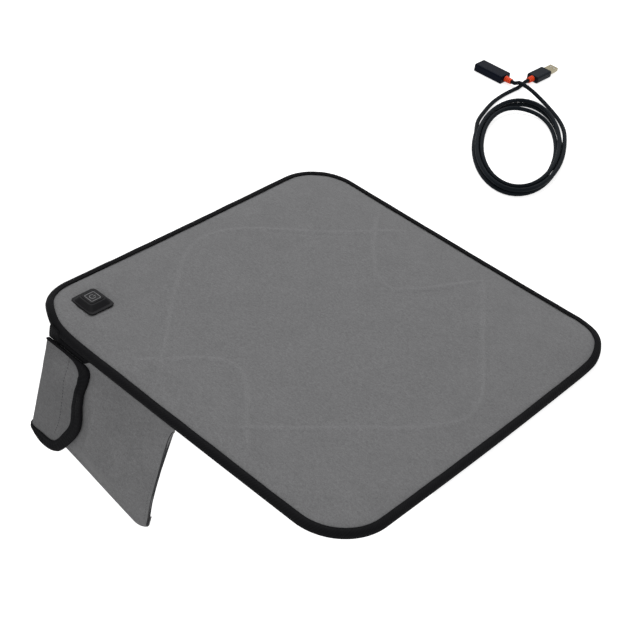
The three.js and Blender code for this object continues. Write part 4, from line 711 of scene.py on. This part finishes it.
def seat_pad():
    points, faces, free = pad_grid()
    pad = new_piece("seat_pad", points, faces, felt, None)
    swell(pad, free)
    subdivide(pad)
    close_below(pad)
    tree, rises = wire_ridges()
    ridges = pad.data.attributes.new("ridge", "FLOAT", "POINT")
    for vertex, ridge in zip(pad.data.vertices, ridges.data):
        x, y, z = vertex.co / MM
        if z > 5:
            near = tree.find_range((x, y, 0), 3 * WIRE_RIDGE_SPREAD)
            # The ridge share raises the cover and also sets the fleece's painted highlight along the crest
            ridge.value = max((rises[k] * hump(distance, WIRE_RIDGE_SPREAD) for _, k, distance in near), default=0)
            vertex.co.z += (ridge.value * WIRE_RIDGE_RISE + PAD_UNEVENNESS * soft_noise((x, y, 0), 38, 2)) * MM
    pad.data.shade_smooth()
    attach(pad, "cushion")
    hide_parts("top_cover", "wadding", "wire_carrier")


seat_pad()

# Underside, whose section is given as (inset, height)
UNDERSIDE_SECTION = [
    (17.2, 1.2), (9.4, 3.6), (2.2, 3.6), (1.9, 3.3), (2.2, 3.0), (8.4, 3.0), (12, 1.4), (16, 0.25), (18, 0), (60, 0)]


def underside():
    rings = [[on_outline(inset, side, share / 24, z) for side in range(4) for share in range(-24, 24)]
             for inset, z in UNDERSIDE_SECTION]
    panel = loft_piece("underside_cloth", rings, lining, "cushion")
    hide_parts("bottom_cover")


underside()

# Edge tape, folded over the layers and sewn through. Its section is given as (inset, height)
TAPE_SECTION = [
    (7.2, 8.2), (6.8, 8.75), (6.1, 9.1), (5.4, 8.9), (4.8, 9.15), (3.6, 9.1), (2.2, 8.7), (0.9, 7.6), (0.1, 6.3),
    (-0.2, 5.0), (-0.1, 3.7), (0.4, 2.5), (1.3, 1.7), (2.4, 1.3), (3.7, 1.3), (4.3, 1.5), (4.9, 1.3), (5.6, 1.4),
    (6.0, 1.8), (5.9, 2.5), (1.8, 2.6), (1.4, 5.0), (1.8, 7.4), (7.0, 7.5)]
TAPE_LOWEST = 1.25
TAPE_STEP = 3


def edge_stations():
    """(side, share) round the cushion, about a tape's step apart."""
    steps = round((2 * (HALF_SIDE - CORNER_RADIUS) + CORNER_RADIUS * pi / 2) / TAPE_STEP)
    return [(side, 2 * k / steps - 1) for side in range(4) for k in range(steps)]


def edge_tape():
    """The tape waves on its outer edge, laps unevenly and is raised unevenly on its upper face."""
    rings = []
    for number, (side, share) in enumerate(edge_stations()):
        run = (number + 1) * TAPE_STEP
        ring = []
        for inset, z in TAPE_SECTION:
            wave = 0.22 * hump(inset - 1.5, 3) * soft_noise((run, z, side * 50), 24, 3) if z != 2.5 else 0
            lap = 0.35 * soft_noise((run, side * 90, 5), 30, 4) if inset > 5 else 0
            height = z if z < 5 else z + 0.22 * soft_noise((run, side * 70, 0), 16, 5)
            ring.append(on_outline(inset + wave + lap, side, share, max(TAPE_LOWEST, height)))
        rings.append(ring)
    tape = loft_piece("edge_tape", rings, black_tape, "cushion", loop=True)
    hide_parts("edge_binding")
    for name, inset, z, out in (("edge_stitches", 5.4, 8.95, UP), ("underside_stitches", 4.3, 1.46, -UP)):
        row = [(on_outline(inset, side, share, z), out) for side, share in edge_stations()]
        stitch_row(name, row + row[:1], "cushion", thread)


edge_tape()

# Sign on the button: a square outline round a power sign
SIGN_HALF = 5.4
SIGN_CORNER = 1.1
SIGN_LINE = 0.75
SIGN_RISE = 0.12
SIGN_ARC = 2.7
SIGN_GAP = radians(38)


def ribbon_points(path, z, closed):
    """Rings of four points of a flat raised line along a path of (x, y)."""
    points = []
    count = len(path)
    for k, (x, y) in enumerate(path):
        before = path[k - 1] if closed or k else path[k]
        after = path[(k + 1) % count] if closed or k < count - 1 else path[k]
        along = Vector((after[0] - before[0], after[1] - before[1], 0)).normalized()
        across = Vector((along.y, -along.x, 0)) * SIGN_LINE / 2
        centre = Vector((x, y, z))
        top = centre + UP * SIGN_RISE
        points += [centre - across, top - across * 0.7, top + across * 0.7, centre + across]
    return points


def button_sign():
    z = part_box("light_window")[1].z / MM + 0.02
    x, y = CONTROL
    outline = []
    straight = SIGN_HALF - SIGN_CORNER
    for quarter, (right, up) in enumerate(((1, 1), (-1, 1), (-1, -1), (1, -1))):
        for angle in shares(4, quarter * pi / 2, (quarter + 1) * pi / 2):
            outline.append((x + right * straight + SIGN_CORNER * cos(angle),
                            y + up * straight + SIGN_CORNER * sin(angle)))
    arc = [(x + SIGN_ARC * sin(angle), y - 0.2 + SIGN_ARC * cos(angle))
           for angle in shares(24, SIGN_GAP, 2 * pi - SIGN_GAP)]
    bar = [(x, y + 0.4), (x, y + 3.4)]
    points, faces = [], []
    for path, closed in ((outline, True), (arc, False), (bar, False)):
        faces += tube_faces(len(points), len(path), 4, closed)
        points += ribbon_points(path, z, closed)
    new_piece("button_sign", points, faces, sign_paint, "button")


button_sign()

# Pocket, in its own frame: x along the seam, z up and y in from the front, leaning out from the seam
LEAN = radians(14)
HINGE = Vector((0, -199.6, -2.7))
POCKET_LEFT = -140.8
POCKET_LENGTH = 146
POCKET_DROP_LEFT = 84
POCKET_DROP_RIGHT = 106
POCKET_CORNER_RISE = 7
POCKET_CORNER_SHARE = 0.1
POCKET_HEM_DROP = 1
CLOTH = 1
BACK_OFFSET = 0.2
INTERIOR = 8
FIT_GAP = 0.3
FULL_SHARE = 0.58
CLOSED_SHARE = 0.97
END_SHARE = 0.24

# Folds and creases of the pocket's front
FOLD_SHARES = (0.68, 0.8)
FOLD_DEPTH = 1.2
FOLD_WIDTH = 0.035
CREASE_SHARE = 0.44
CREASE_DEPTH = 1.6
CREASE_WIDTH = 0.02
WRINKLE_DEPTH = 1.3
HOLLOW_DEPTH = 2.2

# The front's upper strip, sewn over the seam, and its hem, in shares of its height
SEWN_SHARE = 0.045
SEWN_RISE = 5.4
HEM_TURN_SHARE = 0.05


def in_pocket(x, y, z):
    """A place given in the pocket's frame."""
    return HINGE + Vector((x, y * cos(LEAN) + z * sin(LEAN), z * cos(LEAN) - y * sin(LEAN)))


def pocket_x(u, v):
    """Along the pocket. Its right edge flares out a little at the top and at the bottom."""
    flare = 4.5 * exp(-max(0, v + 0.04) * 16) + 2.5 * smoothstep(v, 0.7, 1)
    return POCKET_LEFT + u * POCKET_LENGTH + flare * smoothstep(u, 0.8, 1)


def pocket_z(u, v):
    corner_rise = POCKET_CORNER_RISE * max(0, (u - 1 + POCKET_CORNER_SHARE) / POCKET_CORNER_SHARE) ** 2
    return -POCKET_HEM_DROP - v * (lerp(POCKET_DROP_LEFT, POCKET_DROP_RIGHT, u) - corner_rise)


def stand_out(u, v):
    """How far the pocket's front stands off its back: full at the left, with folds, creases and a hollow."""
    v = max(0, v)
    upright = smoothstep(min(v, 1 - v), 0, END_SHARE)
    along = 1 - smoothstep(u, FULL_SHARE, CLOSED_SHARE)
    folds = sum(hump(u - share, FOLD_WIDTH) for share in FOLD_SHARES)
    creases = WRINKLE_DEPTH * soft_noise((u * 60, v * 30, 0), 16, 6) * smoothstep(min(v, 1 - v), 0, 0.15)
    crease_run = smoothstep(v, 0.15, 0.5) * (1 - smoothstep(v, 0.75, 0.95))
    creases += CREASE_DEPTH * hump(u - CREASE_SHARE, CREASE_WIDTH) * crease_run
    creases -= HOLLOW_DEPTH * hump(hypot((u + 0.45 * v - 0.86) / 0.07, (v - 0.62) / 0.3), 1)
    return upright * ((INTERIOR - FIT_GAP) * along + FOLD_DEPTH * folds) + max(-0.1, creases * min(1, 4 * (1 - u)))


def cloth_rings(columns, rows, place):
    """Rings of a thin cloth: each column has its outer face downward and its inner face back up."""
    return [[place(u, v, 0) for v in rows] + [place(u, v, 1) for v in reversed(rows)] for u in columns]


def pocket_front():
    """The front's felt, sewn up over the seam beside the flap, turned under along its hem. Further left it stays low,
    so the black hinge cloth shows above it as painted shade for the shaded hollow under the edge.
    """
    def place(u, v, inner):
        face = BACK_OFFSET - FIT_GAP - CLOTH - stand_out(u, min(v, 1))
        if v <= 1:
            # The front rises over the seam only from here on. Further left the bare black hinge cloth is painted shade
            rise = SEWN_RISE * smoothstep(u, 0.22, 0.28) * max(0, -v) / SEWN_SHARE
            return in_pocket(pocket_x(u, v), face + inner * CLOTH, pocket_z(u, max(0, v)) + rise)
        turn = min(1, (v - 1) / HEM_TURN_SHARE) * pi
        centre = BACK_OFFSET + CLOTH / 2
        radius = centre - face - inner * CLOTH
        rise = max(0, v - 1 - HEM_TURN_SHARE) * 100
        return in_pocket(pocket_x(u, 1), centre - radius * cos(turn),
                         pocket_z(u, 1) - radius * sin(turn) + rise)
    rows = [-SEWN_SHARE, -0.03, -0.015] + shares(44) + shares(7, 1.008, 1.05) + [1.08, 1.11, 1.14]
    piece = loft_piece("pocket_cloth", cloth_rings(shares(96), rows, place), pocket_felt_painted_shading, None)
    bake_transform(piece)
    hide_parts("pocket_front")


def pocket_back():
    def place(u, v, inner):
        ripple = 0.12 * soft_noise((u * 150, v * 90, 0), 20, 7)
        return in_pocket(pocket_x(u, v), BACK_OFFSET + 0.02 + inner * (CLOTH - 0.05) + ripple, pocket_z(u, v * 0.995))
    columns = shares(60, -2.6 / POCKET_LENGTH, 1)
    piece = loft_piece("pocket_lining", cloth_rings(columns, shares(30), place), lining, "pocket")
    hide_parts("pocket_back")


def pocket_seam():
    """The tape folded over the pocket's right edge, with its stitches. Its section is given inward and outward."""
    outward = in_pocket(0, -1, 0) - in_pocket(0, 0, 0)
    inward = Vector((-1, 0, 0))
    upper = [(1.1, 1.1), (0.8, 1.35), (0.726, 1.41), (0.66, 1.21), (0.594, 1.41), (0.6, 1.35)]
    bend = [(0.6 - 0.85 * sin(a), 1.35 * cos(a)) for a in shares(8, 0, pi)[1:-1]]
    inside = [(1, -1.1), (0.4, -1.1), (0, 0), (0.4, 1.1), (1, 1.1)]
    section = upper + bend + [(a, -b) for a, b in reversed(upper)] + inside
    edge = []
    for v in shares(44, -0.02, 1):
        sway = 0.25 * soft_noise((0, v * 90, 0), 14, 8)
        edge.append(in_pocket(pocket_x(1, v) + 0.2 + sway, 0.05, pocket_z(1, v)))
    rings = [[place + inward * a + outward * b for a, b in section] for place in edge]
    piece = loft_piece("pocket_seam_cloth", rings, grey_tape, "pocket")
    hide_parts("pocket_seam_tape")
    row = [(place + inward * 4.6 + outward * 1.1, outward) for place in edge[2:-2]]
    stitch_row("pocket_seam_stitches", row, "pocket", grey_thread, 2.2, 3, 0.4)


pocket_back()
pocket_front()
pocket_seam()

# Hinge cloth, sewn under the edge tape and down to the pocket. Its left end stands up outside the curled corner. Where
# the pocket's front stays low at the left, its black cloth is painted shade for the hollow under the edge
HINGE_PATH = [
    (-192.9, 0.75), (-195.5, 0.78), (-198, 0.72), (-199.2, 0.35), (-199.6, -0.4), (-199.6, -2.1), (-199.7, -3.1),
    (-200.2, -5.2)]
HINGE_HALF_THICKNESS = 0.4
HINGE_END_X = -156.5
HINGE_END_Y = -199.9
HINGE_END_TOP = [(-156.5, 0.5), (-155.6, 8), (-154.9, 11.6), (-153.8, 12.6), (-146, 10.4), (-140, 9)]
HINGE_END_BOTTOM = -3.4


def end_top(x):
    """The upper edge of the hinge cloth's end at a place along the seam."""
    for (x0, z0), (x1, z1) in zip(HINGE_END_TOP, HINGE_END_TOP[1:]):
        if x <= x1:
            return lerp(z0, z1, (x - x0) / (x1 - x0))
    return HINGE_END_TOP[-1][1]


def hinge_cloth():
    left, right = (corner.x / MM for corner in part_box("hinge_tape"))
    last = len(HINGE_PATH) - 1
    rings = []
    for x in shares(14, HINGE_END_X, left - 0.3) + shares(50, left, right):
        turned_up = 1 - smoothstep(x, left - 3, left + 1)
        path = []
        for k, (y, z) in enumerate(HINGE_PATH):
            height = lerp(end_top(x), HINGE_END_BOTTOM, k / last)
            path.append((lerp(y, HINGE_END_Y, turned_up), lerp(z, height, turned_up)))
        upper, lower = [], []
        for k, (y, z) in enumerate(path):
            before, after = path[max(0, k - 1)], path[min(last, k + 1)]
            along = Vector((0, after[0] - before[0], after[1] - before[1])).normalized()
            across = Vector((0, along.z, -along.y)) * HINGE_HALF_THICKNESS
            middle = Vector((x, y + 0.1 * soft_noise((x, y, z), 12, 9), z))
            upper.append(middle + across)
            lower.append(middle - across)
        rings.append(upper + lower[::-1])
    piece = loft_piece("hinge_cloth", rings, black_tape, None)
    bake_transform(piece)
    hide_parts("hinge_tape")


hinge_cloth()

# Closing flap: a gusset round the open end, a fold and the panel that closes over the pocket's front
FLAP_WALL_X = POCKET_LEFT - 2.6
FLAP_ROOT_Y = -0.1
FLAP_DEPTH = 11.9
FLAP_TOP_DEPTH = 2.3
FLAP_FOLD_RADIUS = 4
FLAP_CLOTH_HALF = 0.6
FLAP_TAPE_OUTSIDE = 1.9
FLAP_TAPE_INSIDE = 0.95
FLAP_BULGE = 3.9
FLAP_BULGE_TOP = 8.8
FLAP_BULGE_SLOPE = 0.0325
FLAP_SWELL = 1.6
FLAP_TROUGH = 1.3
FOLD_RUN = FLAP_DEPTH - FLAP_FOLD_RADIUS + FLAP_FOLD_RADIUS * pi / 2
# Edge of the flap laid flat, given as (run from its root, height, width of the tape there)
FLAP_EDGE = [
    (0.6, -1, 1.6), (14, -1, 1.8), (30, -1, 1.9), (38, -1, 3), (45, -1, 6), (51, -1.4, 8.8), (55.6, -3.4, 10.2),
    (58.9, -7.4, 10.4), (61.3, -13, 10.2), (63.4, -23, 10.4), (65, -34, 11.3), (67.6, -43, 12), (68.8, -52, 12),
    (66.6, -62, 11.4), (61.2, -73, 11), (55.8, -82, 10.4), (49.8, -89, 10.4), (41, -93, 10.6), (29.5, -93.8, 11),
    (20.5, -91.4, 9), (13.8, -87.8, 5), (6, -84.8, 3.2), (0.6, -84, 2.8)]
FLAP_SEAM = [(32, -2), (35, -10), (40, -22.5), (42.6, -37), (44.6, -52), (44.2, -64), (41.7, -76)]
FLAP_ROUTE = smooth_route(FLAP_EDGE, 2)
FLAP_LOWEST = min(range(len(FLAP_ROUTE)), key=lambda k: FLAP_ROUTE[k].y)


def on_flap(run, outward, z):
    """A place on the folded flap, from its run, its distance outward and its height.

    The flap lies close under the edge at the top and stands off the full pocket below. Its fold bulges to the left.
    """
    depth = lerp(FLAP_TOP_DEPTH, FLAP_DEPTH, smoothstep(-z, -2, 24))
    radius = min(FLAP_FOLD_RADIUS, 0.6 * depth)
    wall, arc = depth - radius, radius * pi / 2
    straight = FLAP_FOLD_RADIUS - radius
    local = run / FOLD_RUN * (wall + arc + straight) if run < FOLD_RUN else run - FOLD_RUN + wall + arc + straight
    bulge = FLAP_BULGE + FLAP_BULGE_SLOPE * z + FLAP_BULGE_TOP * smoothstep(z, -25, 0)
    bulge *= smoothstep(run, 0, 7) * (1 - smoothstep(run, 9, 40))
    turn = (local - wall) / radius
    if turn < 0:
        x, y = -outward, -local
    elif turn < pi / 2:
        reach = radius + outward
        x, y = radius - reach * cos(turn), -wall - reach * sin(turn)
    else:
        x, y = radius + local - wall - arc, -depth - outward
    return in_pocket(FLAP_WALL_X + x - bulge, FLAP_ROOT_Y + y, z)


def flap_run(z, rightmost):
    """The flap edge's run at a height, on its free side or on its root side."""
    route = FLAP_ROUTE[:FLAP_LOWEST + 1] if rightmost else FLAP_ROUTE[FLAP_LOWEST:]
    crossings = [FLAP_EDGE[0][0] if rightmost else 0]
    for before, after in zip(route, route[1:]):
        if min(before.y, after.y) <= z <= max(before.y, after.y) and before.y != after.y:
            crossings.append(lerp(before.x, after.x, (z - before.y) / (after.y - before.y)))
    return max(crossings)


def flap_swell(run, z):
    """How far the flap's cloth stands out from its plane, with a soft trough along its middle."""
    inside = smoothstep(run, FOLD_RUN - 3, FOLD_RUN + 12) * smoothstep(flap_run(z, True) - run, 7, 24)
    upright = smoothstep(min(-1 - z, z + 93), 2, 22)
    trough = FLAP_TROUGH * hump(run - 28 - 0.08 * z, 8)
    return inside * upright * (FLAP_SWELL - trough + 0.7 * soft_noise((run, z, 0), 22, 10))


def on_flap_face(spot, height):
    """The place at a height over the flap's swelled outer face, and the outward direction there."""
    surface = height + flap_swell(spot.x, spot.y)
    here = on_flap(spot.x, surface, spot.y)
    return here, (on_flap(spot.x, surface + 1, spot.y) - here).normalized()


def flap_cloth():
    first = [0, 2, 4, 6, *shares(6, 7.5, FOLD_RUN)]
    rings = []
    for z in shares(60, FLAP_ROUTE[FLAP_LOWEST].y + 0.4, -1.5):
        left, right = flap_run(z, False), flap_run(z, True) - 0.6
        limit = max(right, left + 2)
        runs = first + shares(24, FOLD_RUN, limit)[1:]
        runs = [min(max(run, left + 0.05 * k), limit + 0.02 * k) for k, run in enumerate(runs)]
        rings.append([on_flap(run, FLAP_CLOTH_HALF + flap_swell(run, z), z) for run in runs]
                     + [on_flap(run, -FLAP_CLOTH_HALF + min(0.3, flap_swell(run, z)), z) for run in reversed(runs)])
    piece = loft_piece("flap_cloth", rings, flap_felt_painted_shade, None)
    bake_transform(piece)
    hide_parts("flap_gusset", "flap_panel")


def flap_tape():
    """Tape folded over the flap's edge all the way round from the root to the root, and its stitches."""
    face = [(1, 0.75), (0.96, 1), (0.6, 1.04), (0.55, 0.93), (0.5, 1.04), (0.12, 1)]
    bend = [(0.3 - 1.2 * sin(a), FLAP_TAPE_OUTSIDE * cos(a)) for a in shares(8, 0, pi)[1:-1]]
    rings, stitches = [], []
    for k, entry in enumerate(FLAP_ROUTE):
        place = Vector((entry.x, entry.y, 0))
        ahead = FLAP_ROUTE[min(k + 1, len(FLAP_ROUTE) - 1)] - FLAP_ROUTE[max(k - 1, 0)]
        inward = Vector((ahead.y, -ahead.x, 0)).normalized()
        lap = entry.z - 0.9 + 0.3 * soft_noise((k * 4, 0, 0), 14, 11)
        outer = [(lap * share, FLAP_TAPE_OUTSIDE * height) for share, height in face]
        inside = [(lap * 0.96, -FLAP_TAPE_INSIDE), (0.2, -FLAP_TAPE_INSIDE), (-0.3, 0), (0.2, FLAP_TAPE_INSIDE),
                  (lap * 0.96, FLAP_TAPE_INSIDE)]
        ring = []
        for inset, outward in outer + bend + [(a, -b) for a, b in reversed(outer)] + inside:
            spot = place + inward * inset
            swell_there = flap_swell(spot.x, spot.y) if outward > 0 else 0
            ring.append(on_flap(max(0, spot.x), outward + swell_there, spot.y))
        rings.append(ring)
        if place.x > FOLD_RUN + 8 and lap > 4:
            stitches.append(on_flap_face(place + inward * lap * 0.55, FLAP_TAPE_OUTSIDE * 0.96))
    piece = loft_piece("flap_tape", rings, black_tape, None)
    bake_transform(piece)
    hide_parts("flap_binding", "gusset_binding")
    stitch_row("flap_tape_stitches", stitches, "flap", thread)


def flap_seam():
    """The line of stitches inside the tape that holds the hook strip."""
    route = smooth_route([(run, z, 0) for run, z in FLAP_SEAM], 3)
    row = [on_flap_face(spot, FLAP_CLOTH_HALF + 0.05) for spot in route]
    stitch_row("flap_seam_stitches", row, "flap", grey_thread, 2.4, 3, 0.5, 0.3)


flap_cloth()
flap_tape()
flap_seam()

# Hook and loop strips, with rounded ends
STRIP_TOP = -24
STRIP_BOTTOM = -62
STRIP_THICKNESS = 0.9


def strip_piece(name, node, body, inner):
    x0, x1 = (corner.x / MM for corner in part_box(node))
    outer, middle = inner - STRIP_THICKNESS, inner - STRIP_THICKNESS / 2
    rings = []
    for share in shares(18):
        z = lerp(STRIP_TOP, STRIP_BOTTOM, share)
        round_off = 1.5 * (1 - min(1, min(share, 1 - share) * 12)) ** 2
        left, right = x0 + round_off, x1 - round_off
        section = [(left, inner), (left, middle), (left + 0.4, outer)]
        section += [(lerp(x0, x1, t), outer) for t in (0.25, 0.5, 0.75)]
        section += [(right - 0.4, outer), (right, middle), (right, inner)]
        section += [(lerp(x0, x1, t), inner) for t in (0.75, 0.5, 0.25)]
        rings.append([in_pocket(x, y + 0.05 * soft_noise((x, z, 0), 1.5, 12), z) for x, y in section])
    piece = loft_piece(name, rings, hook_loop, body)
    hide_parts(node)


strip_piece("loop_pad", "loop_strip", "pocket", -9)
strip_piece("hook_pad", "hook_strip", "flap", -10.1)

# Stage: a seat block under the cushion and the lead, and a floor at seat height below
SEAT_LOW = Vector((-330, -88, -450))
SEAT_HIGH = Vector((300, 690, -0.15))
FLOOR_HALF = 6000
STAGE_LIFT = 0.72
WORLD_LIGHT = 0.4


def seen_share(owner):
    """1 on a ray from the camera, from a reflection or through glass, and otherwise 0."""
    rays = add_node(owner, "ShaderNodeLightPath").outputs
    seen = computed(owner, "MAXIMUM", rays["Is Camera Ray"], rays["Is Glossy Ray"])
    return computed(owner, "MAXIMUM", seen, rays["Is Transmission Ray"])


def stage_material():
    """White to the camera, to reflections and through glass, with the object's shadow kept faint."""
    material = bpy.data.materials.new("pale_stage")
    material.use_nodes = True
    material.node_tree.nodes.clear()
    paint = add_node(material, "ShaderNodeBsdfDiffuse", Color=(0.8, 0.8, 0.8, 1)).outputs[0]
    lift = add_node(material, "ShaderNodeEmission", Color=WHITE, Strength=STAGE_LIFT).outputs[0]
    lifted = add_node(material, "ShaderNodeAddShader", {0: paint, 1: lift}).outputs[0]
    mix = add_node(material, "ShaderNodeMixShader", {0: seen_share(material), 1: paint, 2: lifted})
    add_node(material, "ShaderNodeOutputMaterial", {"Surface": mix.outputs[0]})
    return material


def make_stage():
    material = stage_material()
    (x0, y0, z0), (x1, y1, z1) = SEAT_LOW, SEAT_HIGH
    block = [(x, y, z) for z in (z0, z1) for x, y in ((x0, y0), (x1, y0), (x1, y1), (x0, y1))]
    block_faces = [(3, 2, 1, 0), (4, 5, 6, 7), (0, 1, 5, 4), (1, 2, 6, 5), (2, 3, 7, 6), (3, 0, 4, 7)]
    floor = [(x * FLOOR_HALF, y * FLOOR_HALF, z0) for x, y in ((-1, -1), (1, -1), (1, 1), (-1, 1))]
    for name, corners, faces in (("seat_block", block, block_faces), ("floor", floor, [(0, 1, 2, 3)])):
        mesh = bpy.data.meshes.new(name)
        mesh.from_pydata([Vector(corner) * MM for corner in corners], [], faces)
        mesh.materials.append(material)
        add_object(name, mesh)


def make_world():
    world = bpy.data.worlds.new("studio")
    world.use_nodes = True
    tree = world.node_tree
    background = tree.nodes["Background"]
    background.inputs["Color"].default_value = WHITE
    background.inputs["Strength"].default_value = WORLD_LIGHT
    white = add_node(world, "ShaderNodeBackground", Color=WHITE, Strength=1)
    mix = add_node(world, "ShaderNodeMixShader", {0: seen_share(world), 1: background.outputs[0], 2: white.outputs[0]})
    tree.links.new(mix.outputs[0], tree.nodes["World Output"].inputs["Surface"])
    bpy.context.scene.world = world


def area_light(name, place, aim, size, power):
    light = bpy.data.lights.new(name, "AREA")
    light.shape = "DISK"
    light.size = size * MM
    light.energy = power
    lamp = add_object(name, light)
    direction = Vector(aim) - Vector(place)
    lamp.rotation_euler = direction.to_track_quat("-Z", "Y").to_euler()
    lamp.location = Vector(place) * MM


make_stage()
make_world()
area_light("key", (-900, 900, 1900), (-40, 60, 0), 1500, 26)
area_light("fill", (900, -1500, 900), (0, -100, 0), 1400, 10)
